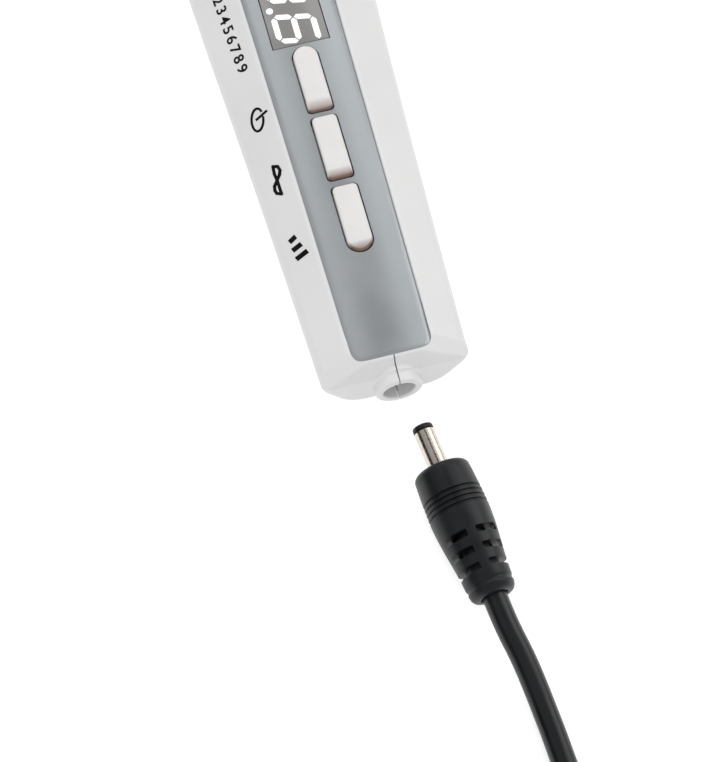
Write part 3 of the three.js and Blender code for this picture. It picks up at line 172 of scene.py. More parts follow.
# Each finish: name, shader values, two colours, drift, roughness, grain, depth and stretch
recipes = {
    # White ABS, injection moulded in a finely sparked tool: a soft, even sheen with no mirror in it
    "housing": ("moulded_white_abs", {"IOR": 1.54}, "#E2E2E2", "#E6E6E5", 18, (0.36, 0.44), 0.35, 0.012),
    # ABS sprayed with fine silver lacquer: satin, with tiny flakes that catch the light
    "strip": (
        "silver_lacquered_abs", {"Metallic": 0.55, "IOR": 1.5},
        "#A9AEB1", "#AFB4B7", 9, (0.3, 0.38), 0.16, 0.006),
    # Warm white ABS keys: smoother than the housing, with a faint pink cast
    "keys": (
        "warm_white_abs", {"IOR": 1.54, "Subsurface Weight": 0.08, "Subsurface Scale": 0.0015},
        "#E6E4E2", "#EAE8E6", 6, (0.38, 0.46), 0.25, 0.008),
    # Smoked acrylic display window: grey, polished, a little warm
    "window": (
        "smoked_acrylic", {"IOR": 1.49, "Coat Weight": 0.4, "Coat Roughness": 0.08},
        "#8A8988", "#8E8D8B", 10, (0.2, 0.26), 0.5, 0.002),
    # White display segments, lit from behind
    "segments": (
        "lit_display_segment", {"Emission Strength": 0.35, "Emission Color": srgb("#FFFFFF")},
        "#EDEBEB", "#F4F2F2", 3, (0.3, 0.4), 0.4, 0.002),
    # Black pad-printed ink: flat, dense, a trace of edge sheen
    "ink": (
        "black_pad_printing_ink", {"IOR": 1.45, "Specular IOR Level": 0.2},
        "#060606", "#0B0B0C", 2, (0.45, 0.6), 0.12, 0.004),
    # Nickel plating over turned brass: mirror-like, with faint lathe rings
    "barrel": (
        "nickel_plated_brass", {"Metallic": 1.0},
        "#CFC5BA", "#D8CFC5", 4, (0.2, 0.28), 0.5, 0.003, (1, 6, 1)),
    # Black PVC overmould: matt, faintly mottled by the mould
    "grip": (
        "moulded_black_pvc", {"IOR": 1.53, "Specular IOR Level": 0.35},
        "#0E1012", "#15171A", 5, (0.34, 0.48), 0.3, 0.02),
    # Extruded PVC cable jacket: the same black with a softer, longer gloss
    "cable": (
        "extruded_black_pvc_jacket", {"IOR": 1.53, "Specular IOR Level": 0.4},
        "#0E1012", "#121416", 6, (0.28, 0.38), 0.8, 0.01),
    # Clear polycarbonate cap: water-clear with a slight draw from the mould
    "cap": (
        "clear_polycarbonate", {"IOR": 1.58, "Transmission Weight": 0.96},
        "#F3F7F9", "#FAFCFD", 8, (0.02, 0.05), 2.5, 0.004),
    # Clear acrylic lens of the spotlight
    "lens": (
        "clear_acrylic_lens", {"IOR": 1.49, "Transmission Weight": 0.9},
        "#F1F4F6", "#F8FAFB", 3, (0.02, 0.04), 1.5, 0.003),
    # Bright chrome plating on the nose ring
    "chrome": ("bright_chrome_plate", {"Metallic": 1.0}, "#DADCDF", "#E2E4E6", 5, (0.06, 0.12), 1.2, 0.003),
    # Gold flash over turned brass: warm and a little soft
    "gold": (
        "gold_flashed_brass", {"Metallic": 1.0}, "#D2AE5E", "#DDBB6E", 3, (0.2, 0.3), 0.3, 0.004, (1, 5, 1)),
    # Drawn stainless steel: fine lines along the draw
    "steel": (
        "drawn_stainless_steel", {"Metallic": 1.0},
        "#B9BBBE", "#C6C8CB", 3, (0.2, 0.32), 0.15, 0.004, (5, 1, 5)),
    # Nickel-plated sheet steel, rolled and stamped
    "stamped": (
        "nickel_plated_stamped_steel", {"Metallic": 1.0},
        "#C3C5C8", "#CFD1D3", 6, (0.18, 0.28), 0.2, 0.004, (4, 1, 1)),
    # White glass-filled nylon tongue
    "nylon": ("white_glass_filled_nylon", {"IOR": 1.53}, "#E4E3DE", "#EBEAE6", 3, (0.5, 0.62), 0.2, 0.01),
    # Dark nylon for the jack, stems and display module
    "dark": ("dark_moulded_nylon", {"IOR": 1.53}, "#2B2C2E", "#353639", 3, (0.45, 0.6), 0.25, 0.015),
    # Green solder mask over a glass-epoxy board
    "board": (
        "green_solder_mask", {"IOR": 1.5, "Coat Weight": 0.3},
        "#1E5A38", "#2A6B45", 4, (0.25, 0.35), 0.3, 0.008),
    # Aluminium laminate round the battery pouch, slightly crinkled
    "foil": ("aluminium_laminate_pouch", {"Metallic": 0.9}, "#B4B9BF", "#C2C7CC", 5, (0.28, 0.42), 2.2, 0.08),
    # Closed-cell foam pad: matt, with its cells showing
    "foam": ("closed_cell_foam", {"IOR": 1.45}, "#343437", "#434347", 2, (0.85, 0.95), 0.3, 0.05),
    # Silicone-sleeved lead: red and slightly waxy
    "red": ("red_silicone_insulation", {"IOR": 1.43}, "#A9231C", "#B92E26", 3, (0.4, 0.5), 0.4, 0.01),
    # Soft black rubber of the tie: dull, with a fine drag from the mould
    "rubber": ("soft_black_rubber", {"IOR": 1.5}, "#1E2021", "#292B2C", 2, (0.6, 0.75), 0.22, 0.03),
    # Phosphor under clear epoxy
    "led": ("phosphor_led", {"IOR": 1.5}, "#EFE7B4", "#F6F0CC", 1, (0.15, 0.25), 0.3, 0.01),
    # Black cloth of the studio's flags
    "cloth": (
        "black_flag_cloth", {"Specular IOR Level": 0.1}, "#050505", "#080808", 20, (0.85, 0.95), 1, 0.05),
}
reliefs = {"strip": crownStrip, "board": weaveBoard, "foam": openCells}
finishes = {}
for use, recipe in recipes.items():
    finishes[use], tree, shader, place = makeFinish(*recipe)
    if use in reliefs:
        reliefs[use](tree, shader, place)
    if use == "keys":
        paintShadeOnFallenEnds(tree, shader)
print("finishes made:", len(finishes))


# Modelling helpers
def selectOnly(*pieces):
    bpy.ops.object.select_all(action="DESELECT")
    for piece in pieces:
        piece.select_set(True)
    bpy.context.view_layer.objects.active = pieces[0]


def newPiece(name, add, **options):
    bpy.ops.object.select_all(action="DESELECT")
    add(**options)
    bpy.context.object.name = name
    return bpy.context.object


def joined(pieces, name):
    selectOnly(*pieces)
    bpy.ops.object.join()
    pieces[0].name = name
    return pieces[0]


def editing(piece):
    selectOnly(piece)
    bpy.ops.object.mode_set(mode="EDIT")
    bpy.ops.mesh.select_all(action="SELECT")
    return bmesh.from_edit_mesh(piece.data)


def doneEditing(piece):
    bmesh.update_edit_mesh(piece.data)
    bpy.ops.object.mode_set(mode="OBJECT")


def tidyMesh(piece):
    editing(piece)
    bpy.ops.mesh.remove_doubles(threshold=0.002 * mm)
    bpy.ops.mesh.delete_loose()
    bpy.ops.mesh.select_all(action="SELECT")
    bpy.ops.mesh.normals_make_consistent(inside=False)
    doneEditing(piece)


# A disc is extruded ring by ring, and each new ring takes its section's points
def loftRings(name, rings):
    count = len(rings[0])
    piece = newPiece(
        name, bpy.ops.mesh.primitive_circle_add, vertices=count, radius=mm, fill_type="NGON")
    mesh = editing(piece)
    for step, ring in enumerate(rings):
        if step:
            bpy.ops.mesh.extrude_region_move()
            mesh = bmesh.from_edit_mesh(piece.data)
        mesh.verts.ensure_lookup_table()
        for i, point in enumerate(ring):
            mesh.verts[step * count + i].co = point
        bmesh.update_edit_mesh(piece.data)
    bpy.ops.object.mode_set(mode="OBJECT")
    tidyMesh(piece)
    return piece


# A flat outline, a list of (x, place), raised between two heights
def raisedOutline(name, outline, bottom, top):
    return loftRings(name, [[spot(x, place, z) for x, place in outline] for z in (bottom, top)])


# A closed profile of (radius, reach) is spun about the Y axis through the origin
def spinProfile(name, profile, steps=64):
    piece = newPiece(name, bpy.ops.mesh.primitive_circle_add, vertices=len(profile), radius=mm)
    mesh = editing(piece)
    for vert, (radius, reach) in zip(mesh.verts, profile):
        vert.co = (radius * mm, reach * mm, 0)
    bmesh.update_edit_mesh(piece.data)
    bpy.ops.mesh.spin(steps=steps, angle=fullTurn, center=(0, 0, 0), axis=(0, 1, 0))
    bpy.ops.object.mode_set(mode="OBJECT")
    tidyMesh(piece)
    return piece


def settle(piece):
    selectOnly(piece)
    bpy.ops.object.transform_apply(location=True, rotation=True, scale=True)


# A piece's own places, before it is laid where it belongs
def ownSpot(x, reach, z):
    return Vector((x, reach, z)) * mm


# A block between two corners, in mm, with its edges rounded
def roundedBlock(name, low, high, edge=0.0, segments=3, at=spot):
    middle = at(*[(a + b) / 2 for a, b in zip(low, high)])
    piece = newPiece(name, bpy.ops.mesh.primitive_cube_add, size=1, location=middle)
    piece.scale = [(b - a) * mm for a, b in zip(low, high)]
    settle(piece)
    if edge:
        editing(piece)
        bpy.ops.mesh.bevel(offset=edge * mm, segments=segments, affect="EDGES")
        doneEditing(piece)
    return piece


def placed(piece, x, place, z, turn=None):
    if turn:
        piece.rotation_euler = turn
    piece.location = spot(x, place, z)
    settle(piece)
    return piece


def carve(piece, tool, operation="DIFFERENCE"):
    cut = piece.modifiers.new("cut", "BOOLEAN")
    cut.operation = operation
    cut.solver = "EXACT"
    cut.object = tool
    selectOnly(piece)
    bpy.ops.object.modifier_apply(modifier=cut.name)
    bpy.data.objects.remove(tool)


# A plane, given by its point and its normal, takes off all that lies beyond it
def sliceOff(piece, point, normal):
    editing(piece)
    bpy.ops.mesh.bisect(
        plane_co=point, plane_no=normal, use_fill=True, clear_outer=True, threshold=0.0001 * mm)
    doneEditing(piece)


# The edge between two planes is rounded by slices that touch a rolling cylinder
def softenEdge(piece, first, second, radius, slices=3):
    (point, normal), (otherPoint, otherNormal) = first, second
    lean = normal.dot(otherNormal)
    near, far = normal.dot(point) - radius * mm, otherNormal.dot(otherPoint) - radius * mm
    middle = (normal * (near - lean * far) + otherNormal * (far - lean * near)) / (1 - lean * lean)
    for i in range(slices):
        way = normal.lerp(otherNormal, (i + 0.5) / slices).normalized()
        sliceOff(piece, middle + way * radius * mm, way)


def dress(piece, finish, body="pen", nodes=(), angle=32):
    selectOnly(piece)
    bpy.ops.object.shade_smooth_by_angle(angle=math.radians(angle))
    piece.data.materials.clear()
    piece.data.materials.append(finishes[finish])
    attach(piece, body)
    if nodes:
        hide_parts(*nodes)
    return piece


def arc(centre, radii, start, end, steps):
    turns = [start + (end - start) * i / steps for i in range(steps + 1)]
    return [(centre[0] + radii[0] * math.cos(t), centre[1] + radii[1] * math.sin(t)) for t in turns]


# A curve from a to c, drawn towards b
def bowed(a, b, c, steps):
    shares = [i / steps for i in range(steps + 1)]
    return [a * (1 - t) ** 2 + b * 2 * t * (1 - t) + c * t * t for t in shares]


def smoothStep(value, low, high):
    t = min(max((value - low) / (high - low), 0), 1)
    return t * t * (3 - 2 * t)


# Charging cord: one curve from the grip, along the floor, round the hank and into the far plug
cord = dict(
    radius=2.05, loops=3, loopPitch=5.3, layerPitch=4.7, foldRadius=12.6, runLength=62, top=-75,
    runX=14, foldSteps=6, runSteps=6, tieRoom=1.15, waistPitches=1.9, floorGap=0.05, straight=6, tuck=0.3,
)
cordRun = [
    (5.54, -38.6, 5.12), (6.16, -44, 4.85), (7.3, -50, 3.95), (8.45, -60, 2.45), (9.15, -70, 2.1),
    (10.05, -76, 2.1), (11.94, -82, 2.1), (13.6, -88, 2.1),
]
# Degrees round the hank's lower fold, distance from its middle, and height
cordTail = [
    (17.8, 22.2, 6.85), (29.8, 22.9, 7.1), (44.1, 23, 7.6), (59.9, 22.3, 8.3), (76.8, 21, 9.2),
    (94.8, 19.3, 10.4), (114.7, 17.5, 11.2), (136.5, 16.1, 11.7), (160, 15.2, 12.3),
]
halfSteps = cord["runSteps"] + cord["foldSteps"]
hankTurns = cord["loops"] + cord["runSteps"] / (2 * halfSteps)
hankReach = cord["foldRadius"] + cord["loopPitch"] * hankTurns / 2
hankX = cord["runX"] - hankReach
hankMiddle = cord["top"] - hankReach - cord["runLength"] / 2
waistPull = hankReach - cord["loopPitch"] * cord["waistPitches"]


def hankPoint(step):
    turn, inHalf = step / (2 * halfSteps), step % halfSteps
    side = -1 if (step // halfSteps) % 2 else 1
    reach = hankReach - cord["loopPitch"] * min(turn, hankTurns - turn)
    middle = cord["loops"] / 2
    climb = smoothStep(turn, middle, middle + cord["runSteps"] / (2 * halfSteps))
    height = cord["radius"] + cord["floorGap"] + cord["layerPitch"] * climb
    if inHalf <= cord["runSteps"]:
        share = inHalf / cord["runSteps"]
        waist = (1 - math.cos(fullTurn * share)) / 2
        place = hankMiddle + side * cord["runLength"] * (1 - 2 * share) / 2
        return hankX + side * (reach - waistPull * waist), place, height + cord["tieRoom"] * waist
    angle = math.pi * (inHalf - cord["runSteps"]) / cord["foldSteps"]
    place = hankMiddle - side * (cord["runLength"] / 2 + reach * math.sin(angle))
    return hankX + side * reach * math.cos(angle), place, height


# The far plug lies over the tie, turned and tilted: its own places count from its grip's front
farPlug = dict(
    x=hankX - 8, place=hankMiddle, height=15.5, turn=math.radians(14), tilt=math.radians(4), grip=24,
    grooves=5, grooveStart=-13, groovePitch=1.6, grooveX=5.2, latchX=2.9,
)


def farSpot(reach):
    turn = Matrix.Rotation(-farPlug["turn"], 3, "Z") @ Matrix.Rotation(farPlug["tilt"], 3, "X")
    return spot(farPlug["x"], farPlug["place"], farPlug["height"]) + turn @ Vector((0, reach * mm, 0))


def makeCord():
    hank = [hankPoint(step) for step in range(round(hankTurns * 2 * halfSteps) + 1)]
    (startX, startPlace, startZ), (endX, endPlace, endZ) = hank[0], hank[-1]
    beyond = 2 * cord["radius"]
    hank = [(startX, startPlace + beyond, startZ), *hank, (endX, endPlace - beyond, endZ)]
    fold = hankMiddle - cord["runLength"] / 2
    tail = [
        (hankX + r * math.cos(math.radians(a)), fold - r * math.sin(math.radians(a)), z)
        for a, r, z in cordTail
    ]
    route = [spot(*p) for p in [*cordRun, *hank, *tail]]
    route += [farSpot(away - farPlug["grip"]) for away in (-cord["straight"], cord["tuck"])]
    line = bpy.data.curves.new("charge_cord", "CURVE")
    line.dimensions = "3D"
    line.resolution_u = 8
    line.bevel_depth = cord["radius"] * mm
    line.bevel_resolution = 6
    line.use_fill_caps = True
    spline = line.splines.new("BEZIER")
    spline.bezier_points.add(len(route) - 1)
    for knot, point in zip(spline.bezier_points, route):
        knot.co = point
        knot.handle_left_type = knot.handle_right_type = "AUTO"
    piece = bpy.data.objects.new("charge_cord", line)
    bpy.context.scene.collection.objects.link(piece)
    line.materials.append(finishes["cable"])
    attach(piece, "pen")
    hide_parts("charge_cord_run", "charge_cord_hank", "charge_cord_tail")
    bpy.context.view_layer.update()
    length = sum(s.calc_length() for s in line.splines)
    print("cord laid,", round(length, 4), "m")
    return piece, route, length


chargeCord, cordRoute, cordLength = makeCord()


# Housing: the ring of the body at a place, as the moulded halves have it
housing = dict(
    length=134, height=14, halfWidth=16.5, sideHeight=3.2, sideLean=0.3, backShare=0.62, lip=0.55,
    lipRound=0.5, facetRound=1.6, sideRound=2, backRound=3, cornerSteps=6, neckStart=110,
    noseHeight=7, neckRadius=6.2, tailSide=1.2, tailBack=4, tailSteps=12, step=2, wall=1.6,
    tailWall=2.2, deckBottom=10.75, deckTop=12.25, neckWall=3, panelHalf=stripHalf, seam=0.2,
)
halfWidthShares = [
    (0, 0.762), (0.149, 0.811), (0.299, 0.867), (0.448, 0.929), (0.537, 0.969),
    (0.642, 1), (0.746, 0.965), (0.851, 0.79), (0.94, 0.52), (1, 0.4),
]
facetDropShares = [(0, 0.207), (0.448, 0.357), (0.642, 0.4), (1, 0.4)]
panelHalfShares = [(0, 0.818), (0.448, 0.947), (0.627, 0.996), (0.7, 0.98), (0.81, 0.7)]
outside = 20  # cutting tools reach this far, well beyond the skin


def smoothThrough(shares, place, size):
    knots = [(a * housing["length"], b * size) for a, b in shares]
    last = len(knots) - 1
    if place <= knots[0][0]:
        return knots[0][1]
    if place >= knots[last][0]:
        return knots[last][1]

    def slope(i):
        return (knots[i + 1][1] - knots[i][1]) / (knots[i + 1][0] - knots[i][0])

    def tangent(i):
        if i in (0, last):
            return slope(min(i, last - 1))
        before, after = slope(i - 1), slope(i)
        return 0 if before * after <= 0 else 2 * before * after / (before + after)

    i = next(k for k, knot in enumerate(knots) if knot[0] > place) - 1
    span = knots[i + 1][0] - knots[i][0]
    t = (place - knots[i][0]) / span
    rise = (knots[i + 1][1] - knots[i][1]) * t * t * (3 - 2 * t)
    lead = t * (1 - t) * (1 - t) * span * tangent(i)
    trail = t * t * (t - 1) * span * tangent(i + 1)
    return knots[i][1] + rise + lead + trail


def halfWidthAt(place):
    return smoothThrough(halfWidthShares, place, housing["halfWidth"])


def facetDropAt(place):
    return smoothThrough(facetDropShares, place, housing["height"])


def panelHalfAt(place):
    return smoothThrough(panelHalfShares, place, housing["panelHalf"])


# The section's right-hand corners, from the lip down to the back
def sectionCorners(place):
    half, drop, top = halfWidthAt(place), facetDropAt(place), housing["height"]
    return [
        Vector((panelHalfAt(place) + housing["lip"], top)),
        Vector((half, top - drop)),
        Vector((half - housing["sideLean"], top - drop - housing["sideHeight"])),
        Vector((half * housing["backShare"], 0)),
    ]


# Every edge moves inwards by its own distance
def movedIn(corners, distances):
    edges = []
    for i, corner in enumerate(corners):
        along = (corners[(i + 1) % len(corners)] - corner).normalized()
        edges.append((corner + Vector((along.y, -along.x)) * distances[i], along))
    moved = []
    for i, (start, along) in enumerate(edges):
        before, way = edges[i - 1]
        gap = start - before
        reach = (gap.x * along.y - gap.y * along.x) / (way.x * along.y - way.y * along.x)
        moved.append(before + way * reach)
    return moved


def roundedCorner(corners, i, radius):
    corner = corners[i]
    ends = []
    for other in (i - 1, (i + 1) % len(corners)):
        way = corners[other] - corner
        ends.append(corner + way * min(radius / way.length, 0.45))
    return bowed(ends[0], corner, ends[1], housing["cornerSteps"])


def bodyRing(place, side=0.0, top=0.0, back=None):
    back = side if back is None else back
    right = sectionCorners(place)
    corners = right + [Vector((-p.x, p.y)) for p in reversed(right)]
    outline = movedIn(corners, [side, side, side, back, side, side, side, top])
    radii = [housing[k] for k in ("lipRound", "facetRound", "sideRound", "backRound")]
    radii = [max(r - side, housing["lipRound"]) for r in radii + radii[::-1]]
    points = [p for i, radius in enumerate(radii) for p in roundedCorner(outline, i, radius)]
    share = smoothStep(place, housing["neckStart"], housing["length"])
    axis = Vector((0, housing["noseHeight"]))
    neck = housing["neckRadius"] - side
    return [p.lerp(axis + (p - axis).normalized() * neck, share) for p in points]


def arcInset(radius, place):
    left = max(radius - place, 0)
    return radius - math.sqrt(radius * radius - left * left)


# Near the tail the sides and the back turn in to the end face
def outerRings():
    back, steps = housing["tailBack"], housing["tailSteps"]
    places = [back * (1 - math.cos(math.pi / 2 * i / steps)) for i in range(steps)]
    count = round((housing["length"] - back) / housing["step"])
    places += [back + (housing["length"] - back) * i / count for i in range(count + 1)]
    rings = []
    for place in places:
        pull = 1 - arcInset(housing["tailSide"], place) / halfWidthAt(place)
        lift = arcInset(back, place)
        rings.append([
            spot(p.x * pull, place, p.y + lift * (housing["height"] - p.y) / housing["height"])
            for p in bodyRing(place, 0, 0, 0)
        ])
    return rings


def cavityRings():
    start, end = housing["tailWall"], housing["length"] - housing["neckWall"]
    top = housing["height"] - housing["deckBottom"]
    count = round((end - start) / (2 * housing["step"]))
    places = [start + (end - start) * i / count for i in range(count + 1)]
    return [[spot(p.x, place, p.y) for p in bodyRing(place, housing["wall"], top)] for place in places]


# Front panel's outline: its corners are drawn in at both ends
panel = dict(
    start=2.1, end=108, bottom=12.4, top=14.02, gap=0.06, ledge=1.6, cornerWidth=2.7, cornerLength=2.2,
    crown=0.25, crownPower=2.5, edgeRound=0.12, edgeWidth=0.6, columns=24, gather=0.35, cornerSteps=8,
    straightSteps=50, flare=0.22, flareShare=0.8, flareClear=2.5, flareFade=5, cutTop=16,
)


def panelEdge(place, grow=0.0):
    first, last = panel["start"] - grow, panel["end"] + grow
    run = panel["cornerLength"] + grow
    inner = min(max(place, panel["start"] + panel["cornerLength"]), panel["end"] - panel["cornerLength"])
    away = min(place - first, last - place)
    if away >= run:
        return panelHalfAt(place) + grow
    t = 1 - math.sqrt(max(away / run, 0))
    return panelHalfAt(inner) + grow - panel["cornerWidth"] * t * t


# Places along the panel, closer together round its corners
def panelPlaces(grow=0.0):
    first, last = panel["start"] - grow, panel["end"] + grow
    run = panel["cornerLength"] + grow
    corner = [run * (i / panel["cornerSteps"]) ** 2 for i in range(panel["cornerSteps"])]
    count = panel["straightSteps"]
    straight = [run + (last - first - 2 * run) * i / count for i in range(count + 1)]
    return [first + r for r in corner + straight] + [last - c for c in reversed(corner)]


def panelOutline(grow):
    right = [(panelEdge(place, grow), place) for place in panelPlaces(grow)]
    return right + [(-x, place) for x, place in reversed(right)]


# The port's collar, flared where it grows out of the end face
port = dict(height=7.8, radius=2.7, collar=4, flare=0.5, rim=0.5, mouthRound=0.35, foot=0.15)


def collarProfile():
    outer, flare, rim = port["collar"], port["flare"], port["rim"]
    foot = housing["tailWall"] - port["foot"]
    return [
        (0, -collarReach), *arc((outer - rim, rim - collarReach), (rim, rim), -math.pi / 2, 0, 5),
        *arc((outer + flare, -flare), (-flare, flare), 0, math.pi / 2, 8), (outer + flare, foot), (0, foot),
    ]


def boreProfile():
    lead, deep = port["mouthRound"], housing["tailWall"] + 1
    mouth = arc((port["radius"] + lead, lead - collarReach), (-lead, -lead), math.pi / 2, 0, 5)
    return [(0, -collarReach - 1), (mouth[0][0], -collarReach - 1), *mouth, (port["radius"], deep), (0, deep)]


# Shell screws go in from the right-hand side
screws = dict(
    places=(14.6, 75.4, 112.6), height=4.5, radius=1, headRadius=1.7, headThickness=1.2, headDepth=0.7,
    seatRoom=0.15, holeGap=0.2, holeSteps=36, endRoom=0.85, bossRadius=2.6, bossSteps=40,
    slotLength=2.0, slotDepth=1.4, slotWidth=0.42,
)


def facetX(place, height):
    half = halfWidthAt(place)
    top = housing["height"] - facetDropAt(place) - housing["sideHeight"]
    low = half * housing["backShare"]
    return low + (half - housing["sideLean"] - low) * height / top


def headFace(place):
    return facetX(place, screws["height"]) - screws["headDepth"] - screws["seatRoom"]


def laySideways(piece, place):
    return placed(piece, 0, place, screws["height"], (0, 0, -math.pi / 2))


def onAxis(name, profile, steps=64, height=housing["noseHeight"]):
    return placed(spinProfile(name, profile, steps), 0, 0, height)


def rod(radius, low, high):
    return [(0, low), (radius, low), (radius, high), (0, high)]


# The spotlight's lens, leaning forwards from the top of the neck
spotlight = dict(place=123, lean=math.radians(28), radius=2.1, length=2.2, proud=0.5, gap=0.3)


def alongLens(piece):
    top = max(p.y for p in bodyRing(spotlight["place"]))
    return placed(piece, 0, spotlight["place"], top, (math.pi / 2 - spotlight["lean"], 0, 0))


# The plane of a side facet near the tail, a little outside the skin
def facetPlane(side, place=3, clear=0.03):
    behind, here, ahead = [sectionCorners(p) for p in (0, place, 2 * place)]
    lip, edge = [Vector((side * c.x, 0, c.y)) for c in here[:2]]
    along = Vector((side * (ahead[1].x - behind[1].x), 2 * place, ahead[1].y - behind[1].y))
    normal = (edge - lip).cross(along).normalized() * side
    return spot(edge.x, place, edge.z) + normal * clear * mm, normal


# The tail's cut: its slant leans from the top to the end face, and a bevel stands on each side;
# the tool stays a hair inside the body's own top and end, so that no faces coincide
tailCut = dict(
    skin=0.004, half=30, reach=200, slantPlace=1.7, slantDrop=3.75, bevelX=7.5, bevelPlace=4.2,
    bevelTurn=math.radians(38), bevelTilt=math.radians(31.9), topRound=0.8, sideRound=0.7, endRound=0.6,
)


def tailTool():
    skin, high = tailCut["skin"], housing["height"]
    low = (-tailCut["half"], skin, -outside)
    tool = roundedBlock("tail", low, (tailCut["half"], tailCut["reach"], high - skin))
    top = (spot(0, 0, high - skin), Vector((0, 0, 1)))
    end = (spot(0, skin, 0), Vector((0, -1, 0)))
    slantWay = Vector((0, -tailCut["slantDrop"], tailCut["slantPlace"])).normalized()
    slant = (spot(0, tailCut["slantPlace"], high), slantWay)
    sliceOff(tool, *slant)
    for side in (-1, 1):
        turn = Matrix.Rotation(side * tailCut["bevelTurn"], 3, "Z")
        way = turn @ Matrix.Rotation(tailCut["bevelTilt"], 3, "X") @ Vector((0, 0, 1))
        bevel = (spot(side * tailCut["bevelX"], tailCut["bevelPlace"], high), way)
        sliceOff(tool, *bevel)
        softenEdge(tool, bevel, top, tailCut["topRound"])
        softenEdge(tool, bevel, slant, tailCut["sideRound"])
        softenEdge(tool, bevel, facetPlane(side), tailCut["sideRound"])
    softenEdge(tool, slant, top, tailCut["endRound"])
    softenEdge(tool, slant, end, tailCut["endRound"])
    return tool


# The softened lip fades in, clear of the strip's rounded ends
def lipTool():
    ends = panel["start"] + panel["flareClear"], panel["end"] - panel["flareClear"]
    lip = [p for p in panelOutline(panel["gap"]) if ends[0] < p[1] < ends[1]]
    tool = raisedOutline("flare", lip, housing["height"] - panel["flare"], housing["height"] + 0.01)
    first, last = [spot(0, pick(p[1] for p in lip), 0).y for pick in (min, max)]
    mesh = editing(tool)
    for vert in mesh.verts:
        if vert.co.z > (housing["height"] - 0.01) * mm:
            room = min(vert.co.y - first, last - vert.co.y) / mm
            spread = panel["flare"] * mm * panel["flareShare"] * min(1, 0.1 + room / panel["flareFade"])
            vert.co.x += math.copysign(spread, vert.co.x)
    doneEditing(tool)
    return tool


def screwHole(place):
    narrow, wide = [screws[k] + screws["holeGap"] for k in ("radius", "headRadius")]
    deep = headFace(place) - screws["headThickness"] - screws["seatRoom"]
    tip = housing["wall"] + screws["endRoom"] - facetX(place, screws["height"])
    return [(0, tip), (narrow, tip), (narrow, deep), (wide, deep), (wide, outside), (0, outside)]


def makeHousing():
    body = loftRings("housing", outerRings())
    hollow = loftRings("hollow", cavityRings())
    # The hollow goes round the screws' posts, so they stand from wall to wall
    for place in screws["places"]:
        post = spinProfile("post", rod(screws["bossRadius"], -outside, outside), screws["bossSteps"])
        carve(hollow, laySideways(post, place))
    tail = tailTool()
    carve(body, hollow)
    for place in screws["places"]:
        carve(body, laySideways(spinProfile("hole", screwHole(place), screws["holeSteps"]), place))
    carve(body, tail, "INTERSECT")
    carve(body, onAxis("collar", collarProfile(), height=port["height"]), "UNION")
    spigot = [(0, 132), (4.4, 132), (4.4, 138.7), (4.1, 139), (0, 139)]
    carve(body, onAxis("spigot", spigot), "UNION")
    carve(body, onAxis("bore", boreProfile(), height=port["height"]))
    carve(body, onAxis("neck_bore", rod(3, 130, 141)))
    carve(body, raisedOutline("recess", panelOutline(panel["gap"]), housing["deckTop"], panel["cutTop"]))
    carve(body, lipTool())
    ledge = panelOutline(-panel["ledge"])
    carve(body, raisedOutline("ledge", ledge, housing["deckBottom"] - 1, panel["cutTop"]))
    seat = spotlight["radius"] + spotlight["gap"]
    lensSeat = [(0, -4), (seat, -4), (seat, -0.25), (seat + 0.3, 0.2), (seat + 0.3, 2.2), (0, 2.2)]
    carve(body, alongLens(spinProfile("lens_seat", lensSeat)))
    other = body.copy()
    other.data = body.data.copy()
    bpy.context.scene.collection.objects.link(other)
    for piece, side, half in ((body, -1, "left"), (other, 1, "right")):
        sliceOff(piece, (side * housing["seam"] / 2 * mm, 0, 0), (-side, 0, 0))
        piece.name = "housing_" + half
        tidyMesh(piece)
        dress(piece, "housing", "pen", [half + "_shell"], 25)
        even = piece.modifiers.new("even_normals", "WEIGHTED_NORMAL")
        even.keep_sharp = True
        selectOnly(piece)
        bpy.ops.object.modifier_apply(modifier=even.name)
    print("housing halves made")


makeHousing()


# Keys: rounded at one end or squared, their tops falling away towards the tail
keys = dict(
    half=2.15, top=14.75, bottom=11.45, corner=0.8, edge=0.42, edgeSteps=4, gap=0.28, fallBottom=13,
    cuts=8, cutReach=1.15, flange=0.8, flangeTop=12.25, flangeEdge=0.1, overlap=0.4,
)
keyRows = [
    dict(name="power", start=48.8, end=61.7, roundStart=False, roundEnd=True, fall=2.6, drop=0.75),
    dict(name="light", start=35.4, end=47.5, roundStart=False, roundEnd=False, fall=2.1, drop=0.7),
    dict(name="level", start=21.4, end=33.8, roundStart=True, roundEnd=False, fall=1.9, drop=0.55),
]


def keyOutline(key, grow=0.0):
    half, inset = keys["half"] + grow, keys["corner"]
    points = []
    for rounded, end, way in (
        (key["roundEnd"], key["end"] + grow, 1), (key["roundStart"], key["start"] - grow, -1),
    ):
        if rounded:
            points += arc((0, end - way * half), (way * half, way * half), 0, math.pi, 16)
        else:
            for side, first in ((way, 0), (-way, math.pi / 2)):
                centre = (side * (half - inset), end - way * inset)
                points += arc(centre, (way * inset, way * inset), first, first + math.pi / 2, 5)
    return points


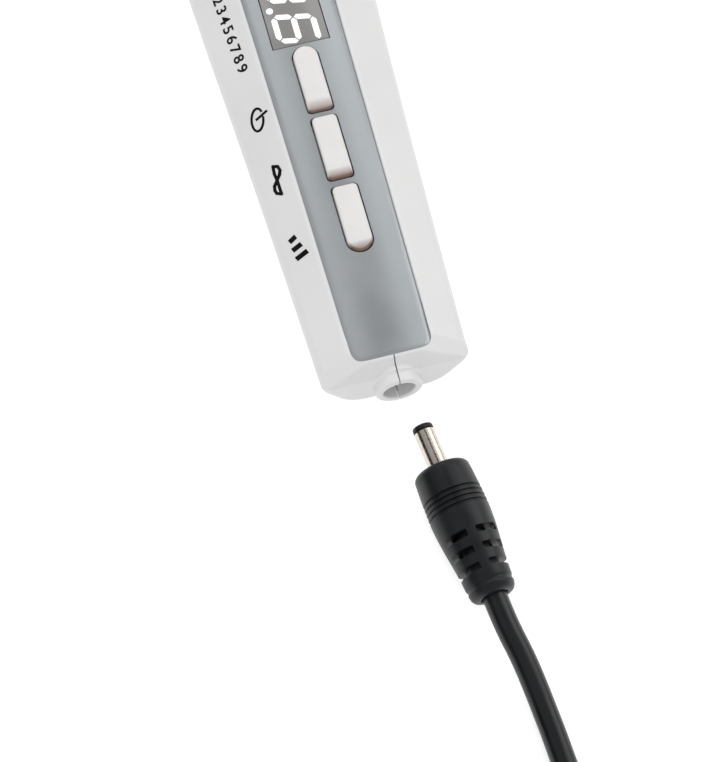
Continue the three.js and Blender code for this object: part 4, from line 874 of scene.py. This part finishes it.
def makeKey(key):
    piece = raisedOutline(
        key["name"] + "_key_top", keyOutline(key), keys["flangeTop"] - keys["overlap"], keys["top"])
    mesh = editing(piece)
    bpy.ops.mesh.select_all(action="DESELECT")
    for face in mesh.faces:
        if face.normal.z > 0.9:
            face.select_set(True)
    bmesh.update_edit_mesh(piece.data)
    bpy.ops.mesh.bevel(offset=keys["edge"] * mm, segments=keys["edgeSteps"], affect="EDGES")
    for i in range(1, keys["cuts"] + 1):
        bpy.ops.mesh.select_all(action="SELECT")
        place = key["start"] + key["fall"] * keys["cutReach"] * i / keys["cuts"]
        bpy.ops.mesh.bisect(plane_co=spot(0, place, 0), plane_no=(0, 1, 0))
    mesh = bmesh.from_edit_mesh(piece.data)
    for vert in mesh.verts:
        away = (vert.co.y - tailY) / mm - key["start"]
        sunk = max(1 - away / key["fall"], 0) ** 2 * key["drop"]
        share = max((vert.co.z / mm - keys["fallBottom"]) / (keys["top"] - keys["fallBottom"]), 0)
        vert.co.z -= sunk * share * mm
    doneEditing(piece)
    half = keys["half"] + keys["flange"]
    flange = roundedBlock(
        "flange", (-half, key["start"] + keys["overlap"], keys["bottom"]),
        (half, key["end"] - keys["overlap"], keys["flangeTop"]), keys["flangeEdge"], 2)
    carve(piece, flange, "UNION")
    dress(piece, "keys", key["name"] + "_key", [key["name"] + "_button"], 40)


for row in keyRows:
    makeKey(row)
print("keys made")


# Front panel: a crowned strip with the keys' slots and the display's opening
window = dict(half=5, start=62.6, end=78, top=13.94, thickness=1.39, edge=0.12, gap=0.15)


def makePanel():
    places = panelPlaces()
    piece = newPiece(
        "front_strip", bpy.ops.mesh.primitive_grid_add, x_subdivisions=panel["columns"],
        y_subdivisions=len(places) - 1, size=2, location=(0, 0, 0))
    mesh = editing(piece)
    for vert in mesh.verts:
        place = places[round((vert.co.y + 1) / 2 * (len(places) - 1))]
        across = math.sin(vert.co.x * math.pi / 2) * panel["gather"] + vert.co.x * (1 - panel["gather"])
        vert.co = spot(across * panelEdge(place), place, panel["bottom"])
    bmesh.update_edit_mesh(piece.data)
    bpy.ops.mesh.extrude_region_move(
        TRANSFORM_OT_translate={"value": (0, 0, (panel["top"] - panel["bottom"]) * mm)})
    mesh = bmesh.from_edit_mesh(piece.data)
    for vert in mesh.verts:
        if vert.select:
            x, place = abs(vert.co.x / mm), (vert.co.y - tailY) / mm
            fromEdge = min(panelEdge(place) - x, place - panel["start"], panel["end"] - place)
            roll = max(1 - fromEdge / panel["edgeWidth"], 0)
            crown = panel["crown"] * (x / panelHalfAt(place)) ** panel["crownPower"]
            vert.co.z -= (crown + panel["edgeRound"] * roll * roll) * mm
    doneEditing(piece)
    tidyMesh(piece)
    for key in keyRows:
        carve(piece, raisedOutline("slot", keyOutline(key, keys["gap"]), 11, panel["cutTop"]))
    half, gap = window["half"] + window["gap"], window["gap"]
    carve(piece, roundedBlock(
        "opening", (-half, window["start"] - gap, 11), (half, window["end"] + gap, panel["cutTop"])))
    dress(piece, "strip", "pen", ["front_panel"])
    print("strip made")


makePanel()


# Display: a flush window with seven-segment figures that read towards the tail
digit = dict(
    height=7.7, width=5.95, stroke=1.02, gap=0.16, slant=0.2, thickness=0.03, shift=0.1,
    dotRadius=0.62, dotX=-3.74, dotPlace=70.3, starts={"9": 77.1, "6": 68.75},
)
segmentLines = {
    "a": ((0, 1), (1, 1)), "b": ((1, 1), (1, 0.5)), "c": ((1, 0.5), (1, 0)), "d": ((0, 0), (1, 0)),
    "e": ((0, 0.5), (0, 0)), "f": ((0, 1), (0, 0.5)), "g": ((0, 0.5), (1, 0.5)),
}
figures = {"9": "abcdfg", "6": "acdefg"}


# u runs along the figure's width towards the tail, v up the figure
def figureSpot(u, v, start):
    lean = (v - digit["height"] / 2) * digit["slant"]
    return -digit["height"] / 2 + v - digit["shift"], start - u - lean


def segmentOutline(letter, start):
    wide, tall = digit["width"] - digit["stroke"], digit["height"] - digit["stroke"]
    half = digit["stroke"] / 2
    a, b = [Vector((half + u * wide, half + v * tall)) for u, v in segmentLines[letter]]
    way = (b - a).normalized()
    across = Vector((-way.y, way.x))
    a, b = a + way * digit["gap"], b - way * digit["gap"]
    corners = [
        a, a + way * half + across * half, b - way * half + across * half, b,
        b - way * half - across * half, a + way * half - across * half,
    ]
    return [figureSpot(c.x, c.y, start) for c in corners]


def makeDisplay():
    top = window["top"]
    glass = roundedBlock(
        "display_pane", (-window["half"], window["start"], top - window["thickness"]),
        (window["half"], window["end"], top), window["edge"])
    dress(glass, "window", "pen", ["display_window"])
    outlines = [
        segmentOutline(letter, start)
        for figure, start in digit["starts"].items() for letter in figures[figure]
    ]
    radius = digit["dotRadius"]
    outlines.append(arc((digit["dotX"], digit["dotPlace"]), (radius, radius), 0, fullTurn, 24)[:-1])
    segments = [raisedOutline("segment", outline, top, top + digit["thickness"]) for outline in outlines]
    dress(joined(segments, "display_figures"), "segments", "pen")
    print("display made")


makeDisplay()


# Charging plug: its own places count from the barrel's tip, along -Y, then it is turned and laid down
plug = dict(
    x=2.16, place=-7.98, height=5.12, turn=math.radians(6.3), barrelEnd=10.4, gripStart=8, gripEnd=31.1,
    gripRadius=4.72, belly=0.35, bellyEnd=8.8, frontRound=1.1, ribs=4, ribStart=5.1, ribPitch=0.9,
    taperStart=9.4, taperLength=11.2, taperDrop=0.75, slotRows=3, slotStart=12.9, slotPitch=2.8,
    slotX=2.5, slotHalf=(1.75, 0.6, 5.5), slotEdge=0.25, core=2.9,
)


def layPlug(piece, finish, nodes, angle=32):
    placed(piece, plug["x"], plug["place"], plug["height"], (0, 0, plug["turn"]))
    return dress(piece, finish, "pen", nodes, angle)


def flipped(profile):
    return [(radius, -reach) for radius, reach in profile]


def gripRadiusAt(reach):
    return plug["gripRadius"] + plug["belly"] * smoothStep(reach, -2, plug["bellyEnd"])


# Front edge, ribs, the long taper of the strain relief, its neck and its rounded end
def gripProfile():
    start, end, soft = plug["gripStart"], plug["gripEnd"], plug["frontRound"]
    front = arc((gripRadiusAt(0) - soft, start + soft), (soft, soft), -math.pi / 2, 0, 6)
    waist = [(gripRadiusAt(at), start + at) for at in (2.2, 3.6)]
    ribs = []
    for i in range(plug["ribs"]):
        at = plug["ribStart"] + plug["ribPitch"] * i
        for away, deep in ((-0.06, 0), (0, 0.1), (0.12, 0.3), (0.33, 0.3), (0.45, 0.1), (0.51, 0)):
            ribs.append((gripRadiusAt(at + away) - deep, start + at + away))
    full, drop = plug["gripRadius"] + plug["belly"], plug["belly"] + plug["taperDrop"]
    taper = [
        (full - drop * smoothStep(i, -1, 11), start + plug["taperStart"] + plug["taperLength"] * i / 10)
        for i in range(11)
    ]
    neck = [(3.88, 20.85), (3.76, 21.1), (3.78, 21.3), (3.88, 21.6), (3.9, 21.8)]
    rear = [(3.86, 1.2), (3.72, 0.65), (3.4, 0.2), (3.0, 0), (2.4, 0), (2.2, 0.4), (0, 0.4)]
    bore = [(0, 2.55), (1.9, 2.55), (1.9, 0)]
    return [
        *front, *waist, *ribs, *taper, *[(r, start + at) for r, at in neck],
        *[(r, end - at) for r, at in rear], *[(r, start + at) for r, at in bore],
    ]


def makePlug():
    end = plug["barrelEnd"]
    barrel = [(1.3, 0.95), (1.62, 0.95), (1.75, 1.08), (1.75, end), (0.9, end), (0.9, 1.1), (1.3, 1.1)]
    tip = [(0.9, 0.1), (1.0, 0), (1.5, 0), (1.68, 0.1), (1.75, 0.3), (1.75, 0.8), (0.9, 0.8)]
    pieces = [
        layPlug(spinProfile("barrel_sleeve", flipped(barrel)), "barrel", ["plug_barrel"]),
        layPlug(spinProfile("barrel_tip", flipped(tip)), "grip", ["plug_tip_ring"]),
    ]
    grip = spinProfile("cord_grip", flipped(gripProfile()), 96)
    # The strain relief's slots leave a core round the cord
    for row in range(plug["slotRows"]):
        at = -(plug["gripStart"] + plug["slotStart"] + row * plug["slotPitch"])
        for x in (-plug["slotX"], plug["slotX"]):
            low, high = [
                [middle + way * half for middle, half in zip((x, at, 0), plug["slotHalf"])] for way in (-1, 1)
            ]
            slot = roundedBlock("relief_slot", low, high, plug["slotEdge"], 3, ownSpot)
            carve(slot, spinProfile("core", rod(plug["core"], at - 1, at + 1)))
            carve(grip, slot)
    pieces.append(layPlug(grip, "grip", ["plug_grip"], 38))
    print("plug made")
    return pieces


plugPieces = makePlug()


# Head: chrome ring, nose cone, clear cap, needle and its hub, spotlight lens
def makeHead():
    ring = [
        (4.6, 134.3), (6.0, 134.2), (6.2, 134.26), (6.35, 134.42), (6.4, 134.6), (6.4, 136.4),
        (6.35, 136.58), (6.2, 136.74), (6.0, 136.8), (4.6, 136.7),
    ]
    dress(onAxis("chrome_ring", ring, 96), "chrome", "pen", ["nose_ring"])
    skin = bowed(Vector((6.1, 137)), Vector((4.88, 142.1)), Vector((2.6, 154)), 24)
    cone = [
        (5.95, 137), (6.07, 137.15), *skin[1:-1], (2.6, 153.8), (2.45, 154), (1.7, 154), (1.7, 141.8),
        (2.5, 141.8), (2.5, 139.6), (4.6, 139.6), (4.6, 137),
    ]
    dress(onAxis("nose_cover", cone, 96), "housing", "pen", ["nose_cone"])
    hub = [
        (0, 150.4), (0.5, 150.4), (0.6, 150.6), (0.6, 155.8), (1.4, 155.8), (1.5, 155.92), (1.5, 157.5),
        (1.4, 157.7), (0.8, 159.3), (0.68, 159.4), (0.42, 159.4), (0.42, 157.6), (0, 157.6),
    ]
    dress(onAxis("hub_turned", hub, 48), "gold", "needle_unit", ["needle_hub"])
    needle = [
        (0, 157.8), (0.22, 157.8), (0.22, 161.8), (0.17, 162.4), (0.1, 162.95), (0.03, 163.35), (0, 163.4),
    ]
    dress(onAxis("needle_drawn", needle, 32), "steel", "needle_unit", ["needle"])
    print("head made")


makeHead()

cap = dict(wall=0.9, innerRadius=3.4, shoulder=155, roof=1.4, domeRound=1.2)


def makeCap():
    low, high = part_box("tip_cap")
    start, end = (low.y - tailY) / mm, (high.y - tailY) / mm
    foot = (high.x - low.x) / 2 / mm
    wall, bore, shoulder, soft = cap["wall"], cap["innerRadius"], cap["shoulder"], cap["domeRound"]
    inner = bowed(
        Vector((foot - wall, start)), Vector((foot - 1.5 * wall, (start + shoulder) / 2)),
        Vector((bore + wall / 4, shoulder)), 12)
    outer = [(x + wall, y) for x, y in inner]
    rim = [(outer[0][0] - 0.12, start), (outer[1][0], start + 0.15)]
    dome = arc((bore + wall - soft, end - soft), (soft, soft), 0, math.pi / 2, 8)
    roof = end - cap["roof"]
    inside = [(0, roof), (bore - 0.5, roof), (bore - 0.15, roof - 0.15), (bore, roof - 0.5)]
    profile = [*inside, *inner[::-1], *rim, *outer[1:], *dome, (0, end)]
    dress(onAxis("clear_cap", profile, 96), "cap", "cap", ["tip_cap"])
    print("cap made")


makeCap()


def makeLens():
    proud, radius, low = spotlight["proud"], spotlight["radius"], spotlight["proud"] - spotlight["length"]
    dome = arc((0, 0), (radius, proud), 0, math.pi / 2, 10)[:-1]
    profile = [(0, low), (radius - 0.1, low), (radius, low + 0.1), *dome, (0, proud)]
    dress(alongLens(spinProfile("spot_lens", profile)), "lens", "pen", ["light_lens"])


makeLens()


def makeScrews():
    r, h = screws["radius"], screws["headRadius"]
    for i, place in enumerate(screws["places"]):
        node = f"shell_screw_{i + 1}"
        face = headFace(place)
        seat, tip = face - screws["headThickness"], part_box(node)[0].x / mm
        profile = [
            (0, tip), (r * 0.5, tip + 0.5), (r, tip + r), (r, seat), (h, seat), (h, face - 0.25),
            (h - 0.08, face - 0.08), (h - 0.3, face), (0, face),
        ]
        screw = spinProfile(f"case_screw_{i + 1}", profile, 48)
        # Two crossed slots
        for turn in (0, math.pi / 2):
            blade = newPiece(
                "blade", bpy.ops.mesh.primitive_cube_add, size=1, location=(0, face * mm, 0),
                rotation=(0, turn, 0))
            blade.scale = [screws[k] * mm for k in ("slotLength", "slotDepth", "slotWidth")]
            settle(blade)
            carve(screw, blade)
        dress(laySideways(screw, place), "steel", "pen", [node])
    print("screws made")


makeScrews()


# The section of a box with rounded corners
def boxSection(x0, x1, z0, z1, radius):
    corners = [Vector(c) for c in ((x1, z1), (x1, z0), (x0, z0), (x0, z1))]
    return [p for i in range(4) for p in roundedCorner(corners, i, radius)]


# The hank's tie: a band of soft rubber round both bundles, with softened edges
tieBand = dict(wall=0.8, radius=2.85, edge=0.2, edgeShare=0.3)


def makeTie():
    low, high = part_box("cord_tie")
    x0, x1, z0, z1 = low.x / mm, high.x / mm, low.z / mm, high.z / mm
    near, far = (low.y - tailY) / mm, (high.y - tailY) / mm
    edge, share = tieBand["edge"], tieBand["edgeShare"]

    def band(grow, place):
        section = boxSection(x0 - grow, x1 + grow, z0 - grow, z1 + grow, tieBand["radius"] + grow)
        return [spot(p.x, place, p.y) for p in section]

    inward = [(edge, 0), (edge * share, edge * share), (0, edge)]
    rings = [band(-sunk, near + away) for sunk, away in inward]
    rings += [band(-sunk, far - away) for sunk, away in reversed(inward)]
    piece = loftRings("hank_tie", rings)
    carve(piece, loftRings("tie_bore", [band(-tieBand["wall"], place) for place in (near - 1, far + 1)]))
    return dress(piece, "rubber", "pen", ["cord_tie"], 40)


tie = makeTie()


# Far plug: moulded grip with the flat metal shell let into it
def layFarPlug(piece):
    turn = (farPlug["tilt"], 0, -farPlug["turn"])
    return placed(piece, farPlug["x"], farPlug["place"], farPlug["height"], turn)


# Sections are (half width, half height, corner radius, reach)
def flatTube(name, sections):
    return loftRings(name, [
        [ownSpot(p.x, reach, p.y) for p in boxSection(-half, half, -tall, tall, radius)]
        for half, tall, radius, reach in sections
    ])


def makeFarPlug():
    sections = [
        (2.5, 2.5, 1.3, -24), (2.9, 2.9, 1.5, -23.9), (3.25, 3.25, 1.7, -23.5), (3.4, 3.4, 1.8, -22.9),
    ]
    for i in range(1, 12):
        t = smoothStep(i, 0, 12)
        sections.append((3.4 + 4.2 * t, 3.4 + 0.6 * t, 1.8, -22.9 + 6.9 * i / 12))
    sections += [
        (7.6, 4, 1.8, -16), (7.6, 4, 1.8, -0.7), (7.5, 3.9, 1.8, -0.35), (7.25, 3.65, 1.7, -0.08),
        (6.95, 3.35, 1.6, 0),
    ]
    grip = flatTube("far_grip", sections)
    for i in range(farPlug["grooves"]):
        at = farPlug["grooveStart"] + farPlug["groovePitch"] * i
        for x in (-farPlug["grooveX"], farPlug["grooveX"]):
            carve(grip, roundedBlock("groove", (x - 2, at, 3.72), (x + 2, at + 0.7, 5), 0.15, 2, ownSpot))
    carve(grip, flatTube("pocket", [(6.15, 2.4, 0.5, -3.15), (6.15, 2.4, 0.5, 1)]))
    dress(layFarPlug(grip), "grip", "pen", ["usb_grip"], 38)
    shell = flatTube("far_shell", [(6, 2.25, 0.45, -3), (6, 2.25, 0.45, 11.9), (5.95, 2.2, 0.45, 12)])
    carve(shell, flatTube("mouth", [(5.65, 1.9, 0.2, -4), (5.65, 1.9, 0.2, 13)]))
    for x in (-farPlug["latchX"], farPlug["latchX"]):
        carve(shell, roundedBlock("latch", (x - 1.15, 5.2, 1), (x + 1.15, 7.5, 4), 0.2, 2, ownSpot))
    dress(layFarPlug(shell), "stamped", "pen", ["usb_shell"])
    print("far plug made")
    return [grip, shell]


farPieces = makeFarPlug()

signs = dict(lift=0.012, thickness=0.03)


# Printed signs on the left facet; u runs towards the tail, v up the facet towards the strip
def onFacet(u, v, lift):
    near, here, far = [sectionCorners(place) for place in (u - 1, u, u + 1)]
    low, high = Vector((-here[1].x, u, here[1].y)), Vector((-here[0].x, u, here[0].y))
    up = (high - low).normalized()
    along = Vector((near[1].x - far[1].x, 2, far[1].y - near[1].y)).normalized()
    out = along.cross(up).normalized()
    if out.z < 0:
        out = -out
    return spot(*(low + up * v + out * lift))


def printSign(name, outlines):
    levels = (signs["lift"], signs["lift"] + signs["thickness"])
    pieces = [
        loftRings("stroke", [[onFacet(u, v, lift) for u, v in outline] for lift in levels])
        for outline in outlines
    ]
    dress(joined(pieces, name), "ink")


# The signs lean along the facet: their own across and down, as steps of (u, v)
lean = dict(across=Vector((-0.525, 0.909)), down=Vector((-0.86, -0.323)))


def leaning(sign, points):
    return [Vector((sign["u"], sign["v"])) + lean["across"] * x + lean["down"] * y for x, y in points]


# Short flat pieces of a stroke through a row of points
def stroked(points, stroke):
    pieces = []
    for a, b in zip(points, points[1:]):
        a, b = Vector(a), Vector(b)
        way = (b - a).normalized() * stroke / 2
        side, joint = Vector((-way.y, way.x)), way * 0.6
        pieces.append([a - joint + side, a - joint - side, b + joint - side, b + joint + side])
    return pieces


powerSign = dict(
    u=50.93, v=4.99, radii=(1.18, 2.26), start=math.radians(-16), end=math.radians(310), stroke=0.46,
    bar=[(-0.2, 0), (1.8, -1.8)],
)
lampSign = dict(u=38.68, v=4.78, stroke=0.62, lobes=[
    [(-0.92, -2.58), (0.04, -2.64), (0.48, -1.9), (0.38, -1.04), (-0.08, 0.06), (-0.6, -1.1), (-0.92, -2.58)],
    [(-0.08, 0.06), (-0.58, 1.3), (-0.5, 2.1), (-0.16, 2.64), (0.8, 2.7), (0.36, 1.4), (-0.08, 0.06)],
])
levelSign = dict(u=25.16, v=4.2, half=Vector((0.29, 0.33)), bars=[
    ((-1.72, -1.18), (-0.56, -2.4)), ((-1.12, 0.42), (0.54, -1.02)), ((-0.4, 2.02), (1.68, 0.22)),
])


def printSigns():
    ring = arc((0, 0), powerSign["radii"], powerSign["start"], powerSign["end"], 30)
    strokes = stroked(ring, powerSign["stroke"]) + stroked(powerSign["bar"], powerSign["stroke"])
    printSign("power_sign", [leaning(powerSign, stroke) for stroke in strokes])
    strokes = [stroke for lobe in lampSign["lobes"] for stroke in stroked(lobe, lampSign["stroke"])]
    printSign("lamp_sign", [leaning(lampSign, stroke) for stroke in strokes])
    half = levelSign["half"]
    printSign("level_sign", [
        leaning(levelSign, [Vector(a) - half, Vector(b) - half, Vector(b) + half, Vector(a) + half])
        for a, b in levelSign["bars"]
    ])


printSigns()


# Level numerals down the facet: flat type is made a mesh, then laid on the facet
numerals = dict(first=78.2, pitch=2.1, count=9, foot=4.55, size=3.0, weight=0.05)


def printNumerals():
    pieces = []
    for i in range(numerals["count"]):
        piece = newPiece("numeral", bpy.ops.object.text_add)
        piece.data.body = str(i + 1)
        piece.data.size = numerals["size"]
        piece.data.align_x = "CENTER"
        piece.data.offset = numerals["weight"]
        piece.data.resolution_u = 4
        bpy.ops.object.convert(target="MESH")
        editing(piece)
        bpy.ops.mesh.extrude_region_move(TRANSFORM_OT_translate={"value": (0, 0, signs["thickness"])})
        mesh = bmesh.from_edit_mesh(piece.data)
        for vert in mesh.verts:
            x, y, raised = vert.co
            place = numerals["first"] - numerals["pitch"] * i - x
            vert.co = onFacet(place, numerals["foot"] + y, signs["lift"] + max(raised, 0))
        doneEditing(piece)
        tidyMesh(piece)
        pieces.append(piece)
    dress(joined(pieces, "level_numerals"), "ink")


printNumerals()
print("signs printed")


# CAD nodes that stay, by what they are made of
usbContacts = [f"usb_contact_{i + 1}" for i in range(4)]
nodesOf = {
    "dark": [
        "display_module", "controller_chip", "boost_inductor", "power_stem", "light_stem", "level_stem",
        "charge_jack", "hv_transformer",
    ],
    "board": ["main_board"], "stamped": ["power_switch", "light_switch", "level_switch"],
    "foil": ["battery_cell"], "foam": ["battery_pad"], "red": ["battery_red_lead", "hv_lead"],
    "cable": ["battery_black_lead"], "gold": ["jack_pin", "needle_socket", *usbContacts],
    "steel": ["jack_spring_contact"], "led": ["light_led"], "nylon": ["usb_tongue"],
}
for finish, names in nodesOf.items():
    for name in names:
        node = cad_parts[name]
        node.data.materials.clear()
        node.data.materials.append(finishes[finish])


# Studio: pale floor, two flags and four soft lamps, on both sides, above and in front
studio = dict(floorSize=3, floorDrop=0.0002, floorGlow=0.5, air=0.5, airSeen=0.7, aim=(0, -0.07, 0))
# Seen only in reflections: one darkens the plug's and the cable's left side, as in the photo,
# and one overhead darkens the middle of the strip
flags = [
    dict(name="black_flag", place=(-0.42, -0.12, 0.15), turn=(0, math.pi / 2, 0), spread=(0.3, 0.6, 1)),
    dict(name="overhead_card", place=(0.05, 0.18, 0.5), turn=(0, 0, 0), spread=(0.17, 0.5, 1)),
]
# Only the right-hand and the top lamp show in reflections
lamps = [
    dict(name="lamp_right", place=(0.55, 0.05, 0.4), size=0.45, power=1.15, mirrored=True),
    dict(name="lamp_left", place=(-0.5, 0.1, 0.5), size=0.45, power=1.15, mirrored=False),
    dict(name="lamp_top", place=(0.1, 0.5, 0.65), size=0.6, power=1.6, mirrored=True),
    dict(name="lamp_front", place=(-0.05, -0.75, 0.4), size=0.5, power=1.8, mirrored=False),
]


# Matt white paper: it takes shadows, and rays from the camera, mirrors and glass see it lifted
def mattPaper():
    material = bpy.data.materials.new("matt_white_paper")
    material.use_nodes = True
    tree = material.node_tree
    tree.nodes.clear()
    paper = addNode(tree, "ShaderNodeBsdfDiffuse", inputs={"Color": srgb("#F6F6F6")})
    ray = addNode(tree, "ShaderNodeLightPath")
    seen = ray.outputs["Is Camera Ray"]
    for other in ("Is Glossy Ray", "Is Transmission Ray"):
        either = addNode(
            tree, "ShaderNodeMath", {"operation": "MAXIMUM"}, links={0: seen, 1: ray.outputs[other]})
        seen = either.outputs[0]
    lift = addNode(
        tree, "ShaderNodeMath", {"operation": "MULTIPLY"}, {1: studio["floorGlow"]}, {0: seen})
    glow = addNode(
        tree, "ShaderNodeEmission", inputs={"Color": srgb("#FFFFFF")}, links={"Strength": lift.outputs[0]})
    both = addNode(tree, "ShaderNodeAddShader", links={0: paper.outputs[0], 1: glow.outputs[0]})
    addNode(tree, "ShaderNodeOutputMaterial", links={"Surface": both.outputs[0]})
    return material


def makeStudio():
    floor = newPiece(
        "floor", bpy.ops.mesh.primitive_plane_add, size=studio["floorSize"],
        location=(0, 0, -studio["floorDrop"]))
    floor.data.materials.append(mattPaper())
    for row in flags:
        flag = newPiece(
            row["name"], bpy.ops.mesh.primitive_plane_add, size=1, location=row["place"],
            rotation=row["turn"])
        flag.scale = row["spread"]
        settle(flag)
        flag.visible_camera = flag.visible_diffuse = flag.visible_shadow = False
        flag.data.materials.append(finishes["cloth"])
    world = bpy.data.worlds.new("studio_air")
    bpy.context.scene.world = world
    world.use_nodes = True
    air = world.node_tree.nodes["Background"]
    air.inputs["Color"].default_value = srgb("#F5F5F6")
    # The camera sees the air beyond the floor as white
    ray = addNode(world.node_tree, "ShaderNodeLightPath")
    strength = addNode(
        world.node_tree, "ShaderNodeMath", {"operation": "MULTIPLY_ADD"},
        {1: studio["airSeen"], 2: studio["air"]}, {0: ray.outputs["Is Camera Ray"]})
    world.node_tree.links.new(strength.outputs[0], air.inputs["Strength"])
    for row in lamps:
        lamp = newPiece(row["name"], bpy.ops.object.light_add, type="AREA", location=row["place"])
        lamp.data.shape = "SQUARE"
        lamp.data.size = row["size"]
        lamp.data.energy = row["power"]
        lamp.visible_glossy = row["mirrored"]
        aim = Vector(studio["aim"]) - Vector(row["place"])
        lamp.rotation_euler = aim.to_track_quat("-Z", "Y").to_euler()


makeStudio()
print("studio lit")
